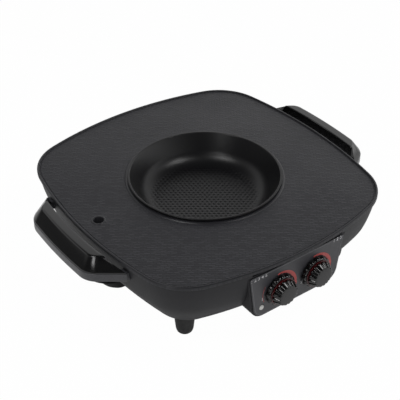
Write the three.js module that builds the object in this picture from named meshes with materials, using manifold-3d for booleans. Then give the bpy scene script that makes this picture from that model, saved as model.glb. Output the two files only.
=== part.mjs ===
// Table-top hot pot and grill in one: a square-round grill plate with a round pot let into its middle,
// a tapering base on four feet, two side handles, a front control box with two turning knobs,
// and a drip tray that slides out from under the drain hole.
// Millimetres, +Z up, knobs towards -Y. The plan is drawn about the plate's centre with the floor at
// z = 0, and the last lines move it in Y so that the origin lies under the middle of the whole object.

import * as THREE from "three";
import { mergeVertices } from "three/addons/utils/BufferGeometryUtils.js";
import Module from "manifold-3d";

const wasm = await Module();
wasm.setup();

// Driving sizes of the whole object
const plateHalfWidth = 190; // along X, to the middle of a side
const plateHalfDepth = 196.5; // along Y, to the middle of a side
const plateSideBow = 608.5; // radius of the left and right sides
const plateFrontBow = 454.9; // radius of the front and back sides
const plateCornerRadius = 71.6;
const rimHeight = 112; // top of the plate's rim above the floor
const footHeight = 32; // underside of the base above the floor
const potThroat = 97.4; // pot's inner radius where the wall meets the rim
const potDepth = 36.6; // pot's rim to its floor, inside

// Clearances and overrun
const seatGap = 0.3; // between a piece and what it rests on or passes through
const overrun = 20; // how far a cutting tool runs past the piece

// Facets
const sidePoints = 3; // along half a side of the outline
const cornerPoints = 6;
const roundSegments = 36;
const midSegments = 20;
const smallSegments = 12;
const screwSegments = 6;
const tubeSides = 6;
const arcSteps = 4;

// Grill plate
const plateThickness = 5.2; // rim top to the underside
const plateEdgeRound = 1.2;
const plateLipWidth = 4;
const plateLipHeight = 1.5;
const plateLipSlope = 1;
const plateRibGap = 1.6; // the locating rib to the base's wall
const plateRibWidth = 2.5;
const plateRibDrop = 3.6;
const collarWidth = 4;
const collarDrop = 8; // the collar's skirt below the rim level
const collarEdge = 0.4;
const drainInset = 27.3; // drain's centre in from the left side
const drainRadius = 6.75;
const drainRingWidth = 2.6;
const drainRingHeight = 0.5;
const drainNozzleDrop = 11; // nozzle's end below the rim level

// Hot pot
const potWall = 1.8;
const potSideGap = 0.8; // wall to the plate's collar
const potWallLean = 2.9; // inwards, from the rim down to the bend
const potBendWidth = 28.5;
const potBendHeight = 19;
const potRimWidth = 2.4;
const potRimThickness = 3.3;
const potRimOverlap = 1.5; // rim past the collar's bore
const potRimRound = 0.6;
const potBaseRecess = 0.7;
const potBaseRecessWidth = 6;

// Base shell. The shares follow the outside from the top edge down to the flat underside:
// how far in of the whole taper, and how high of the whole height.
const shellWall = 2.4;
const shellTopInset = 2;
const shellTaper = 33;
const shellOutlineShares = [
  [0, 1],
  [0.079, 0.805],
  [0.148, 0.671],
  [0.23, 0.537],
  [0.336, 0.403],
  [0.497, 0.268],
  [0.685, 0.141],
  [0.812, 0.054],
  [0.897, 0.016],
  [1, 0],
];
const shellSoleWidth = 2.5; // the narrow flat that the base's wall ends in
const flangeWidth = 23;
const flangeThickness = 2;

// Bottom cover, let into the rebate under the flange
const coverThickness = 1.5;
const coverSink = 0.5; // up from the base's sole
const ventLength = 34;
const ventWidth = 5;
const ventPitch = 14;
const ventsPerRow = 4;
const ventRowX = 62;

// Heat reflector and pot well
const sheet = 1;
const reflectorDrop = 24; // rim level down to the pan's underside
const reflectorScrewGap = 2; // pan to the heads of the handle screws
const reflectorRimSpread = 1.5;
const reflectorRimRise = 12;
const reflectorBoxGap = 6; // pan's front edge to the control box
const wellSideGap = 2; // out from the collar's bore
const wellHoleGap = 4;
const wellFlangeWidth = 7;
const wellRoom = 19.2; // pot's underside down to the well's floor
const wellCentreHole = 6;
const postRadius = 4;
const postSpread = 25; // out from the well's flange

// Heaters and what carries them
const grillTubeRadius = 3.5;
const grillRingRadius = 138;
const grillRingDrop = 13; // rim level down to the tube's centre
const grillRingSteps = 42;
const grillRingOpening = 9; // degrees each side of the front
const grillRingPoints = 20;
const grillLegDrop = 19;
const legHoleGap = 2.2;
const potTubeRadius = 3.25;
const potCoilInner = 30;
const potCoilInset = 6; // outer turn, in from the edge of the pot's floor
const potCoilTurns = 2;
const potCoilSteps = 46;
const potCoilPoints = 24;
const potCoilGap = 1.3; // under the pot
const potLegShare = 0.3; // of the way from the well's floor down to the bottom cover
const bracketWidth = 8;
const bracketFoot = 12;
const bracketSheet = 1.4;
const bracketPlay = 0.6; // round the tube, which bends along the bracket
const bracketAngles = [45, 135, 225, 315];
const standAngles = [90, 210, 330];
const standWidth = 4;
const standBar = 2.6;
const standOverhang = 6; // past the coil's first and last turn
const cutoutRadius = 10;
const cutoutHeight = 7;
const cutoutStep = 3;

// Handles
const fingerGap = 10; // plate edge to handle
const handleWidth = 24.8; // finger gap to the outer edge, at the middle
const handleBow = 700; // radius of the outer edge
const handleHalfLength = 60; // to where the outer corner begins
const handleCornerRadius = 12;
const handleCornerTurn = 57.7; // degrees, from the outer edge to the arm's edge
const handleArmHalf = 94; // the arm's outer edge at the plate
const handleArmWidth = 12; // along the plate's edge
const handleArmBelow = 10; // how far the arm is drawn in before the base's form is cut from it
const fingerGapHalf = 76;
const handleFrameHeight = 11.5;
const handlePocketRoof = 3;
const handlePocketWall = 3;
const handlePocketHalf = 56;
const handlePockets = 4;
const handleRibWidth = 2.5;
const handleSteps = 5; // along half of an edge
const gripRise = 3.6; // top above the rim
const gripLedge = 1.4;
const gripInset = 0.6; // back from the frame's edge
const gripEdge = 0.8;
const gripSlopeWidth = 12.4; // outer edge to the ridge
const gripDrop = 15.4; // ridge to the ledge
const gripBandHalf = 69; // the flat band's inner edge
const gripRidgeHalf = 60; // the flat band's outer edge
const gripPlateGap = 0.8;
const handleScrewY = 84.5;
const handleScrewRise = 4; // above the frame's underside
const handleScrewRadius = 2;
const handleScrewHead = 3.6;
const handleScrewHeadDepth = 2.4;
const handleScrewBite = 9;

// Control box and panel
const panelSetback = 8; // panel's face behind the plate's front edge
const panelTopDrop = 5.5; // below the base's top edge
const panelBottomDrop = 1; // below the base's underside
const panelTopHalf = 76;
const panelBottomHalf = 69;
const panelCorner = 19; // bottom corners
const panelTopCorner = 3;
const panelThickness = 1.2;
const panelBorder = 2.4;
const boxWall = 2.5;
const boxReach = 2; // the box's foot past the inside of the base's sole
const neckRibGap = 1.7; // the box's upper strip to the plate's rib, at the strip's ends
const neckDepth = 3;
const neckSideInset = 3;
const lensX = -54.4;
const lensRise = 15.6; // above the box's underside
const lensRadius = 3.5;
const lensFlange = 1.4;
const lensFlangeDepth = 1.2;
const lensProud = 0.8;
const lensDomeShare = 0.7;
const lampRadius = 2.6;
const lampLength = 13;

// Knobs, from the panel outwards
const knobX = 28;
const knobDrop = 2; // below the box's middle
const knobGap = 1;
const skirtRadius = 22;
const skirtTaper = 1.4;
const skirtDepth = 6;
const skirtLobes = 12;
const lobeDepth = 0.9;
const pointsPerLobe = 3;
const ringRadius = 18.6;
const ringDepth = 2.8;
const capRadius = 17.6;
const capDepth = 3.6;
const capLobes = 12;
const gripBarWidth = 7;
const gripBarLength = 29;
const gripBarHeight = 4.2;
const gripBarBevel = 1.2;
const gripBarTurn = 45; // degrees, its upper end to the left when off
const shaftRadius = 3;
const shaftFlat = 2.2; // axis to the flat of the D
const shaftBite = 6; // into the cap
const shaftInside = 14; // into the thermostat

// Thermostats behind the panel
const statSize = 34;
const statDepth = 17;
const statCorner = 3;
const bushRadius = 5.4;
const bushProud = 0.4; // past the panel's face
const bushHoleGap = 0.8;

// Feet
const footInset = 14.5; // centre in from the base's lower edge
const footTopRadius = 13.75;
const footBottomRadius = 11;
const footShoulder = 5;
const footFlatRadius = 7.5;
const footFlatRise = 1.4;
const footMidRadius = 9.8;
const footBore = 4.2;
const footBoreDepth = 14;
const footScrewRadius = 2;
const footScrewHead = 3.6;
const footScrewHeadDepth = 2.4;
const footScrewBite = 4.7; // past the flange's top
const screwCrownShare = 0.7;

// Drip tray, its rails and the chute above it
const trayInset = 8.5; // outer end, in from the plate's side
const trayLength = 82;
const trayHalf = 28.5;
const trayNoseCut = 17;
const trayNoseBulge = 1;
const trayBackCut = 8;
const trayRimThickness = 1.8;
const trayRimWidth = 3;
const trayDepth = 18.4;
const trayWall = 1.6;
const trayDraft = 0.5;
const trayNoseDraft = 15.5; // the outer end leans in more
const trayNoseCutLow = 12;
const railSheet = 1.6;
const railLip = 2.4;
const railLength = 54;
const railInset = 2.5; // outer end, in from the base's sole
const railPlay = 1.6; // above the tray's rim
const chuteRadius = 8.5;
const chuteWall = 1.6;
const chuteFlare = 13;
const chuteFlareHeight = 7;
const chuteMouthDrop = 9; // below the rim level
const chuteEndGap = 1.6; // above the tray's rim

// Power inlet at the back, and the terminal block inside
const inletRaise = 1; // centre above the middle of the room under the reflector
const inletWidth = 32;
const inletHeight = 24;
const inletSetback = 5.5; // outer face behind the plate's back edge
const inletDepth = 30;
const inletWall = 3.6;
const inletCavity = 16;
const inletCorner = 4;
const pinWidth = 2;
const pinHeight = 4;
const pinReach = 10;
const pinTail = 6;
const pinSpread = 7;
const terminalWidth = 40;
const terminalDepth = 18;
const terminalHeight = 13;
const terminalSetback = 78.5; // its middle, in from the plate's back edge
const terminalHole = 2.6;
const terminalHoleDepth = 6;
const terminalPitch = 12;

// Levels and places worked out from the sizes above
const plateUnderside = rimHeight - plateThickness;
const cookingSurface = rimHeight - plateLipHeight;
const collarRadius = potThroat + potWall + potSideGap;
const shellTop = plateUnderside - seatGap;
const shellBottomInset = shellTopInset + shellTaper;
const soleInset = shellBottomInset + shellSoleWidth;
const flangeInset = soleInset + flangeWidth;
const coverBottom = footHeight + coverSink;
const coverTop = coverBottom + coverThickness;
const flangeUnderside = coverTop + seatGap;
const flangeTop = flangeUnderside + flangeThickness;
const reflectorUnderside = rimHeight - reflectorDrop;
const reflectorTop = reflectorUnderside + sheet;
const potFlange = rimHeight + seatGap;
const potRimTop = potFlange + potRimThickness;
const potRimRadius = collarRadius + potRimOverlap;
const potFloor = potRimTop - potDepth;
const potUnderside = potFloor - potWall;
const potFloorRadius = potThroat - potWallLean - potBendWidth;
const wellRadius = collarRadius + wellSideGap;
const wellFloor = potUnderside - wellRoom;
const potLegEnd = wellFloor - (wellFloor - coverTop) * potLegShare;
const potCoilZ = potUnderside - potCoilGap - potTubeRadius;
const potCoilOuter = potFloorRadius - potCoilInset;
const potCoilPitch = (potCoilOuter - potCoilInner) / potCoilTurns;
const grillRingZ = rimHeight - grillRingDrop;
const panelFace = plateHalfDepth - panelSetback;
const boxFace = panelFace - panelThickness - seatGap;
const boxInside = boxFace - boxWall;
const panelTop = shellTop - panelTopDrop;
const panelBottom = footHeight - panelBottomDrop;
const knobZ = (panelBottom + panelTop) / 2 - knobDrop;
const lensZ = panelBottom + lensRise;
const skirtLow = panelFace + knobGap;
const ringLow = skirtLow + skirtDepth + seatGap;
const capLow = ringLow + ringDepth + seatGap;
const knobFront = capLow + capDepth + gripBarHeight;
const shaftStart = boxInside - seatGap - shaftInside;
const gripTop = rimHeight + gripRise;
const gripLow = gripTop - gripDrop - gripLedge;
const handleFrameTop = gripLow - seatGap;
const handleFrameBottom = handleFrameTop - handleFrameHeight;
const handleScrewZ = handleFrameBottom + handleScrewRise;
const drainX = drainInset - plateHalfWidth;
const trayReach = plateHalfWidth - trayInset;
const railTop = coverBottom - seatGap;
const trayRimTop = railTop - railSheet - railPlay;
const trayBottom = trayRimTop - trayDepth;
const chuteEnd = trayRimTop + chuteEndGap;
const inletOuter = plateHalfDepth - inletSetback;
const inletZ = (coverTop + reflectorUnderside) / 2 + inletRaise;
const terminalY = plateHalfDepth - terminalSetback;

// Materials, one function for each finish
const finish = (color, roughness, metalness) =>
  new THREE.MeshStandardMaterial({ color, roughness, metalness });
const coatedAluminium = () => finish(0x3d3d40, 0.55, 0.2);
const potCoating = () => finish(0x1d1d1e, 0.35, 0.2);
const satinPlastic = () => finish(0x3f3f42, 0.42, 0);
const blackGloss = () => finish(0x141414, 0.15, 0);
const greyPlastic = () => finish(0x48484a, 0.5, 0);
const panelGrey = () => finish(0x4b4b50, 0.4, 0);
const redClear = () => finish(0x7a1414, 0.25, 0);
const whiteClear = () => finish(0xd8d8d4, 0.3, 0);
const brightSteel = () => finish(0xb9bbbd, 0.3, 1);
const zincSteel = () => finish(0x9a9c9e, 0.45, 1);
const heaterSheath = () => finish(0x4a4744, 0.5, 0.8);
const ceramic = () => finish(0xd9d4c8, 0.6, 0);
const rubber = () => finish(0x232323, 0.7, 0);
const bakelite = () => finish(0x1f1b19, 0.4, 0);
const brass = () => finish(0xb08a45, 0.35, 1);

// Closed surfaces and booleans

const radians = (degrees) => (degrees * Math.PI) / 180;

// Drops the normals, merges the points and turns the faces outwards.
function closedSurface(geometry) {
  const bare = geometry.clone();
  bare.deleteAttribute("normal");
  bare.deleteAttribute("uv");
  const merged = mergeVertices(bare, seatGap / 1000);
  const place = merged.attributes.position;
  const index = merged.index.array;
  const corners = [0, 1, 2].map(() => new THREE.Vector3());
  const faces = [];
  let volume = 0;
  for (let i = 0; i < index.length; i += 3) {
    const face = [index[i], index[i + 1], index[i + 2]];
    if (new Set(face).size < 3) continue;
    faces.push(face);
    face.forEach((vertex, k) => corners[k].fromBufferAttribute(place, vertex));
    volume += corners[0].dot(corners[1].cross(corners[2]));
  }
  const outward = volume > 0 ? faces : faces.map(([a, b, c]) => [a, c, b]);
  return merged.setIndex(outward.flat());
}

function toSolid(geometry) {
  const surface = closedSurface(geometry);
  return new wasm.Manifold(
    new wasm.Mesh({
      numProp: 3,
      vertProperties: new Float32Array(surface.attributes.position.array),
      triVerts: new Uint32Array(surface.index.array),
    }),
  );
}

function toGeometry(solid) {
  const mesh = solid.getMesh();
  const geometry = new THREE.BufferGeometry();
  geometry.setAttribute("position", new THREE.BufferAttribute(mesh.vertProperties, 3));
  return geometry.setIndex(new THREE.BufferAttribute(mesh.triVerts, 1));
}

const cut = (geometry, ...tools) =>
  toGeometry(tools.reduce((rest, tool) => rest.subtract(toSolid(tool)), toSolid(geometry)));
const join = (geometry, ...more) =>
  toGeometry(more.reduce((whole, other) => whole.add(toSolid(other)), toSolid(geometry)));

// A skin over rings that hold the same number of points. With a loop the last ring joins the first,
// and without one flat caps close both ends, laid out in the two given coordinates.
function skin(rings, loop = false, capAxes = ["x", "y"]) {
  const count = rings[0].length;
  const faces = [];
  for (let i = 0; i < (loop ? rings.length : rings.length - 1); i++) {
    const low = i * count;
    const high = ((i + 1) % rings.length) * count;
    for (let k = 0; k < count; k++) {
      const next = (k + 1) % count;
      faces.push([low + k, low + next, high + next], [low + k, high + next, high + k]);
    }
  }
  const cap = (ring, start, last) => {
    const flat = ring.map((point) => new THREE.Vector2(...capAxes.map((axis) => point[axis])));
    const follows = THREE.ShapeUtils.area(flat) > 0;
    for (const face of THREE.ShapeUtils.triangulateShape(flat, [])) {
      const shifted = face.map((vertex) => vertex + start);
      faces.push(follows === last ? shifted : shifted.reverse());
    }
  };
  if (!loop) {
    cap(rings[0], 0, false);
    cap(rings[rings.length - 1], (rings.length - 1) * count, true);
  }
  return closedSurface(
    new THREE.BufferGeometry().setFromPoints(rings.flat()).setIndex(faces.flat()),
  );
}

// Simple forms

const ringAt = (plan, z) => plan.map(([x, y]) => new THREE.Vector3(x, y, z));

const prism = (plan, low, high) => skin([ringAt(plan, low), ringAt(plan, high)]);

// An outline in X and Z, as thick as given along Y
const plank = (front, thickness) =>
  skin(
    [-thickness / 2, thickness / 2].map((y) => front.map(([x, z]) => new THREE.Vector3(x, y, z))),
    false,
    ["x", "z"],
  );

const block = (width, depth, height, x, y, z) =>
  new THREE.BoxGeometry(width, depth, height).translate(x, y, z);

// A turned body from [radius, height] points. The profile ends on the axis or on its own start.
const turned = (profile, segments = smallSegments) =>
  closedSurface(
    new THREE.LatheGeometry(
      profile.map(([r, z]) => new THREE.Vector2(r, z)),
      segments,
    ).rotateX(Math.PI / 2),
  );
const closed = (profile) => [...profile, profile[0]];

const rod = (radius, low, high, segments = smallSegments) =>
  new THREE.CylinderGeometry(radius, radius, high - low, segments)
    .rotateX(Math.PI / 2)
    .translate(0, 0, (low + high) / 2);

// Turns what stands along +Z so that it points out of the control panel.
const facingFront = (geometry) => geometry.rotateX(Math.PI / 2);

const onCircle = (radius, degrees, z = 0) =>
  new THREE.Vector3(radius * Math.cos(radians(degrees)), radius * Math.sin(radians(degrees)), z);

// The same four places, mirrored left to right and front to back
const fourPlaces = (x, y) => [
  [-x, -y],
  [x, -y],
  [-x, y],
  [x, y],
];

// A pan-head screw along +Z, with the underside of its head at zero
function screw(radius, head, headDepth, length) {
  return turned(
    [
      [0, -headDepth],
      [head * screwCrownShare, -headDepth],
      [head, -headDepth / 2],
      [head, 0],
      [radius, 0],
      [radius, length - radius],
      [0, length],
    ],
    screwSegments,
  );
}

// The square-round outline: four bowed sides and four round corners

// The corner's centre lies where circles drawn inside two neighbouring bows meet.
function cornerCentre() {
  const sideCentre = plateHalfWidth - plateSideBow;
  const frontCentre = plateHalfDepth - plateFrontBow;
  const sideArm = plateSideBow - plateCornerRadius;
  const frontArm = plateFrontBow - plateCornerRadius;
  const span = Math.hypot(sideCentre, frontCentre);
  const along = (sideArm ** 2 - frontArm ** 2 + span ** 2) / (2 * span);
  const across = Math.sqrt(sideArm ** 2 - along ** 2);
  const [ux, uy] = [-sideCentre / span, frontCentre / span];
  return [sideCentre + ux * along - uy * across, uy * along + ux * across];
}
const [cornerX, cornerY] = cornerCentre();

function outline(inset) {
  const sideR = plateSideBow - inset;
  const frontR = plateFrontBow - inset;
  const corner = plateCornerRadius - inset;
  const sideCentre = plateHalfWidth - plateSideBow;
  const frontCentre = plateHalfDepth - plateFrontBow;
  const start = Math.atan2(cornerY, cornerX - sideCentre);
  const end = Math.atan2(cornerY - frontCentre, cornerX);
  const arc = (cx, cy, radius, from, to, steps) =>
    Array.from({ length: steps }, (_, i) => {
      const t = from + ((to - from) * i) / steps;
      return [cx + radius * Math.cos(t), cy + radius * Math.sin(t)];
    });
  const quarter = [
    ...arc(sideCentre, 0, sideR, 0, start, sidePoints),
    ...arc(cornerX, cornerY, corner, start, end, cornerPoints),
    ...arc(0, frontCentre, frontR, end, Math.PI / 2, sidePoints),
  ];
  const back = [0, frontCentre + frontR];
  const left = quarter.slice(1).reverse();
  const half = [...quarter, back, ...left.map(([x, y]) => [-x, y])];
  return [...half, ...half.map(([x, y]) => [-x, -y])];
}

const squareRing = (inset, z) => ringAt(outline(inset), z);

// A circle of evenly spaced points, as many as the outline has
const roundRing = (radius, z) =>
  outline(0).map((_, i, { length }) => onCircle(radius, (360 * i) / length, z));

// The X of the right side, drawn in by an inset, at a given Y
const sideX = (inset, y) =>
  plateHalfWidth - plateSideBow + Math.sqrt((plateSideBow - inset) ** 2 - y ** 2);

// The Y of the front side, drawn in by an inset, at a given X
const frontY = (inset, x) =>
  plateHalfDepth - plateFrontBow + Math.sqrt((plateFrontBow - inset) ** 2 - x ** 2);

// Grill plate: rim lip, sunk cooking surface, raised collar round the pot and a drain at the left
function grillPlate() {
  const rib = ribInset();
  const collarOuter = collarRadius + collarWidth;
  const body = skin(
    [
      squareRing(plateEdgeRound, plateUnderside),
      squareRing(0, plateUnderside + plateEdgeRound),
      squareRing(0, rimHeight - plateEdgeRound),
      squareRing(plateEdgeRound, rimHeight),
      squareRing(plateLipWidth, rimHeight),
      squareRing(plateLipWidth + plateLipSlope, cookingSurface),
      roundRing(collarOuter + plateLipSlope, cookingSurface),
      roundRing(collarOuter, rimHeight),
      roundRing(collarRadius + collarEdge, rimHeight),
      roundRing(collarRadius, rimHeight - collarEdge),
      roundRing(collarRadius, rimHeight - collarDrop),
      roundRing(collarOuter, rimHeight - collarDrop),
      roundRing(collarOuter, plateUnderside),
      squareRing(rib + plateRibWidth, plateUnderside),
      squareRing(rib + plateRibWidth, ribBottom),
      squareRing(rib, ribBottom),
      squareRing(rib, plateUnderside),
    ],
    true,
  );
  const nozzle = rod(
    drainRadius + drainRingWidth,
    rimHeight - drainNozzleDrop,
    cookingSurface + drainRingHeight,
    midSegments,
  );
  const bore = rod(drainRadius, footHeight, rimHeight + overrun, midSegments);
  return cut(join(body, nozzle.translate(drainX, 0, 0)), bore.translate(drainX, 0, 0));
}

// Hot pot: thick rolled rim, nearly upright wall and a wide bend into a flat floor
function hotPot() {
  const bend = (floor, width) =>
    Array.from({ length: arcSteps + 1 }, (_, i) => {
      const t = (Math.PI / 2) * (i / arcSteps);
      return [
        potFloorRadius + width * Math.sin(t),
        floor + potBendHeight * (1 - Math.cos(t)),
      ];
    });
  const rimInner = potRimRadius - potRimWidth;
  const wallOuter = potThroat + potWall;
  const recess = potFloorRadius - potBaseRecessWidth;
  return turned(
    [
      [0, potFloor],
      ...bend(potFloor, potBendWidth),
      [potThroat, rimHeight],
      [rimInner, potRimTop - potRimRound],
      [rimInner + potRimRound, potRimTop],
      [potRimRadius - potRimRound, potRimTop],
      [potRimRadius, potRimTop - potRimRound],
      [potRimRadius, potFlange + potRimRound],
      [potRimRadius - potRimRound, potFlange],
      [wallOuter, potFlange],
      ...bend(potUnderside, potBendWidth + potWall).reverse(),
      [recess, potUnderside],
      [recess - potBaseRecess, potUnderside + potBaseRecess],
      [0, potUnderside + potBaseRecess],
    ],
    roundSegments,
  );
}

// Base shell

const shellOutside = shellOutlineShares.map(([inShare, upShare]) => [
  shellTopInset + shellTaper * inShare,
  footHeight + (shellTop - footHeight) * upShare,
]);

// The inset of the outside at a height
function shellInsetAt(z) {
  const lower = Math.max(
    1,
    shellOutside.findIndex(([, level]) => level <= z),
  );
  const [inset0, z0] = shellOutside[lower - 1];
  const [inset1, z1] = shellOutside[lower];
  return inset0 + ((inset1 - inset0) * (z - z0)) / (z1 - z0);
}

// The outer face of the plate's locating rib, just inside the base's wall
const ribBottom = plateUnderside - plateRibDrop;
const ribInset = () => shellInsetAt(ribBottom) + shellWall + plateRibGap / 2;

// The inside follows the outside one wall further in, square to it.
function shellInside() {
  const inside = shellOutside.slice(0, -1).map(([inset, z], i) => {
    const before = shellOutside[Math.max(i - 1, 0)];
    const after = shellOutside[i + 1];
    const [run, drop] = [after[0] - before[0], before[1] - after[1]];
    const length = Math.hypot(run, drop);
    return [inset + (shellWall * drop) / length, z + (shellWall * run) / length];
  });
  inside[0][1] = shellTop;
  return inside.filter(([, z]) => z >= flangeTop);
}

// The whole outside as one solid, grown by a gap, to fit other pieces to the base
const shellForm = (gap) =>
  skin([
    squareRing(shellTopInset - gap, shellTop + overrun),
    ...shellOutside.map(([inset, z]) => squareRing(inset - gap, z)),
  ]);

// Base shell: a tapering wall that rounds under, with a rebated flange for the bottom cover
function baseShell() {
  const profile = [
    ...shellOutside,
    [soleInset, footHeight],
    [soleInset, flangeUnderside],
    [flangeInset, flangeUnderside],
    [flangeInset, flangeTop],
    ...shellInside().reverse(),
  ];
  const wall = skin(
    profile.map(([inset, z]) => squareRing(inset, z)),
    true,
  );
  const chuteHole = rod(chuteRadius + seatGap, 0, plateUnderside).translate(drainX, 0, 0);
  const screwHoles = handleScrewPlaces().map(([x, y]) =>
    rod(handleScrewRadius + seatGap, -overrun, overrun, screwSegments)
      .rotateY(Math.PI / 2)
      .translate(x, y, handleScrewZ),
  );
  return cut(wall, boxSpace(), chuteHole, inletBlock(seatGap), ...screwHoles, ...footScrewHoles());
}

// Bottom cover: a flat sheet in the base's rebate, with two rows of vents
function bottomCover() {
  const row = Array.from(
    { length: ventsPerRow },
    (_, i) => (i - (ventsPerRow - 1) / 2) * ventPitch,
  );
  const vents = [-ventRowX, ventRowX].flatMap((x) => row.map((y) => vent(x, y)));
  return cut(
    prism(outline(soleInset + seatGap), coverBottom, coverTop),
    boxSpace(),
    ...vents,
    ...footScrewHoles(),
  );
}

// A slot with round ends through the bottom cover, long side along X
function vent(x, y) {
  const radius = ventWidth / 2;
  const straight = ventLength / 2 - radius;
  const end = (side) =>
    Array.from({ length: arcSteps + 1 }, (_, i) => {
      const t = Math.PI * (i / arcSteps - 0.5);
      return [x + side * (straight + radius * Math.cos(t)), y + side * radius * Math.sin(t)];
    });
  return prism([...end(1), ...end(-1)], coverBottom - overrun, coverTop + overrun);
}

// Heat reflector: a shallow pan under the grill heater, cut out round the pot
function heatReflector() {
  const rimTop = reflectorTop + reflectorRimRise;
  const floorInset = handleHeadInset() + reflectorScrewGap;
  const rimInset = floorInset - reflectorRimSpread;
  const hole = wellRadius + wellHoleGap;
  const pan = skin(
    [
      squareRing(rimInset, rimTop),
      squareRing(floorInset, reflectorUnderside),
      roundRing(hole, reflectorUnderside),
      roundRing(hole, reflectorTop),
      squareRing(floorInset + sheet, reflectorTop),
      squareRing(rimInset + sheet, rimTop),
    ],
    true,
  );
  const front = boxBackAt(reflectorUnderside) - reflectorBoxGap / 2;
  const notch = block(
    2 * (panelTopHalf + reflectorBoxGap),
    2 * overrun,
    2 * reflectorDrop,
    0,
    -front - overrun,
    reflectorTop,
  );
  const statBack = boxInside - seatGap - statDepth;
  const statRoom = block(
    2 * knobX + statSize + reflectorBoxGap,
    2 * overrun,
    statSize + reflectorBoxGap,
    0,
    reflectorBoxGap / 2 - statBack - overrun,
    knobZ,
  );
  const chuteHole = rod(chuteRadius + seatGap, 0, rimHeight).translate(drainX, 0, 0);
  const legHoles = grillLegAngles().map((angle) => {
    const place = onCircle(grillRingRadius, angle);
    return rod(grillTubeRadius + legHoleGap, 0, rimHeight).translate(place.x, place.y, 0);
  });
  return cut(pan, notch, statRoom, chuteHole, ...legHoles);
}

// Pot well: the cup round the pot heater, hung in the reflector by its flange
function potWell() {
  const top = reflectorTop + seatGap;
  const cup = turned(
    closed([
      [wellCentreHole, wellFloor],
      [wellRadius, wellFloor],
      [wellRadius, top],
      [wellRadius + wellFlangeWidth, top],
      [wellRadius + wellFlangeWidth, top + sheet],
      [wellRadius - sheet, top + sheet],
      [wellRadius - sheet, wellFloor + sheet],
      [wellCentreHole, wellFloor + sheet],
    ]),
    midSegments,
  );
  const holes = [potCoilInner, potCoilOuter].map((x) =>
    rod(potTubeRadius + legHoleGap, wellFloor - overrun, wellFloor + overrun).translate(x, 0, 0),
  );
  return cut(cup, ...holes);
}

// Spacers between the bottom cover and the reflector
function reflectorPost(angle) {
  const place = onCircle(wellRadius + wellFlangeWidth + postSpread, angle);
  const post = rod(postRadius, coverTop + seatGap, reflectorUnderside - seatGap, screwSegments);
  return post.translate(place.x, place.y, 0);
}

// Heaters

// A tube with a regular section along a smooth path
function tube(points, radius, steps) {
  const section = Array.from({ length: tubeSides }, (_, i) => {
    const t = (2 * Math.PI * i) / tubeSides;
    return new THREE.Vector2(radius * Math.cos(t), radius * Math.sin(t));
  });
  return closedSurface(
    new THREE.ExtrudeGeometry(new THREE.Shape(section), {
      steps,
      bevelEnabled: false,
      extrudePath: new THREE.CatmullRomCurve3(points, false, "centripetal"),
    }),
  );
}

const grillLegAngles = () => [grillRingOpening - 90, 270 - grillRingOpening];

// The angle that a bend of two tube radii takes up on a circle, in degrees
const bendAngle = (tubeRadius, radius) => (2 * tubeRadius * 180) / (Math.PI * radius);

// Grill heater: a sheathed ring, open at the front, whose ends turn down through the pan
function grillHeater() {
  const [first, last] = grillLegAngles();
  const bend = bendAngle(grillTubeRadius, grillRingRadius);
  const leg = (angle) =>
    [grillLegDrop, 2 * grillTubeRadius].map((drop) =>
      onCircle(grillRingRadius, angle, grillRingZ - drop),
    );
  const ring = Array.from({ length: grillRingPoints + 1 }, (_, i) => {
    const angle = first + bend + ((last - first - 2 * bend) * i) / grillRingPoints;
    return onCircle(grillRingRadius, angle, grillRingZ);
  });
  return tube([...leg(first), ...ring, ...leg(last).reverse()], grillTubeRadius, grillRingSteps);
}

// Pot heater: a flat coil whose two ends turn down through the well's floor
function potHeater() {
  const first = bendAngle(potTubeRadius, potCoilInner);
  const last = 360 * potCoilTurns - bendAngle(potTubeRadius, potCoilOuter);
  const leg = (radius) =>
    [potLegEnd, potCoilZ - 2 * potTubeRadius].map((z) => onCircle(radius, 0, z));
  const coil = Array.from({ length: potCoilPoints + 1 }, (_, i) => {
    const angle = first + ((last - first) * i) / potCoilPoints;
    return onCircle(potCoilInner + (potCoilPitch * angle) / 360, angle, potCoilZ);
  });
  const points = [...leg(potCoilInner), ...coil, ...leg(potCoilOuter).reverse()];
  return tube(points, potTubeRadius, potCoilSteps);
}

// A sheet bracket that stands on the pan and cradles the grill heater from below
function heaterBracket(angle) {
  const seat = grillTubeRadius + bracketPlay;
  const outer = seat + bracketSheet;
  const foot = reflectorTop + seatGap;
  const cradle = (radius) =>
    Array.from({ length: 2 * arcSteps + 1 }, (_, i) => {
      const t = (Math.PI / 2) * (i / arcSteps - 2);
      return [radius * Math.cos(t), grillRingZ + radius * Math.sin(t)];
    });
  const middle = arcSteps;
  const under = cradle(outer);
  const front = [
    ...cradle(seat),
    ...under.slice(middle + 1).reverse(),
    [bracketSheet, grillRingZ - outer],
    [bracketSheet, foot + bracketSheet],
    [bracketFoot, foot + bracketSheet],
    [bracketFoot, foot],
    [0, foot],
    [0, grillRingZ - outer],
    ...under.slice(0, middle).reverse(),
  ];
  const bracket = plank(front, bracketWidth).translate(grillRingRadius, 0, 0);
  return bracket.rotateZ(radians(angle));
}

// A small bench under the pot heater's turns, standing on the well's floor
function coilStand(angle) {
  const top = potCoilZ - potTubeRadius - seatGap;
  const foot = wellFloor + sheet + seatGap;
  const near = potCoilInner - standOverhang;
  const far = potCoilOuter + standOverhang;
  const front = [
    [near, foot],
    [near + standBar, foot],
    [near + standBar, top - standBar],
    [far - standBar, top - standBar],
    [far - standBar, foot],
    [far, foot],
    [far, top],
    [near, top],
  ];
  return plank(front, standWidth).rotateZ(radians(angle));
}

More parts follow.
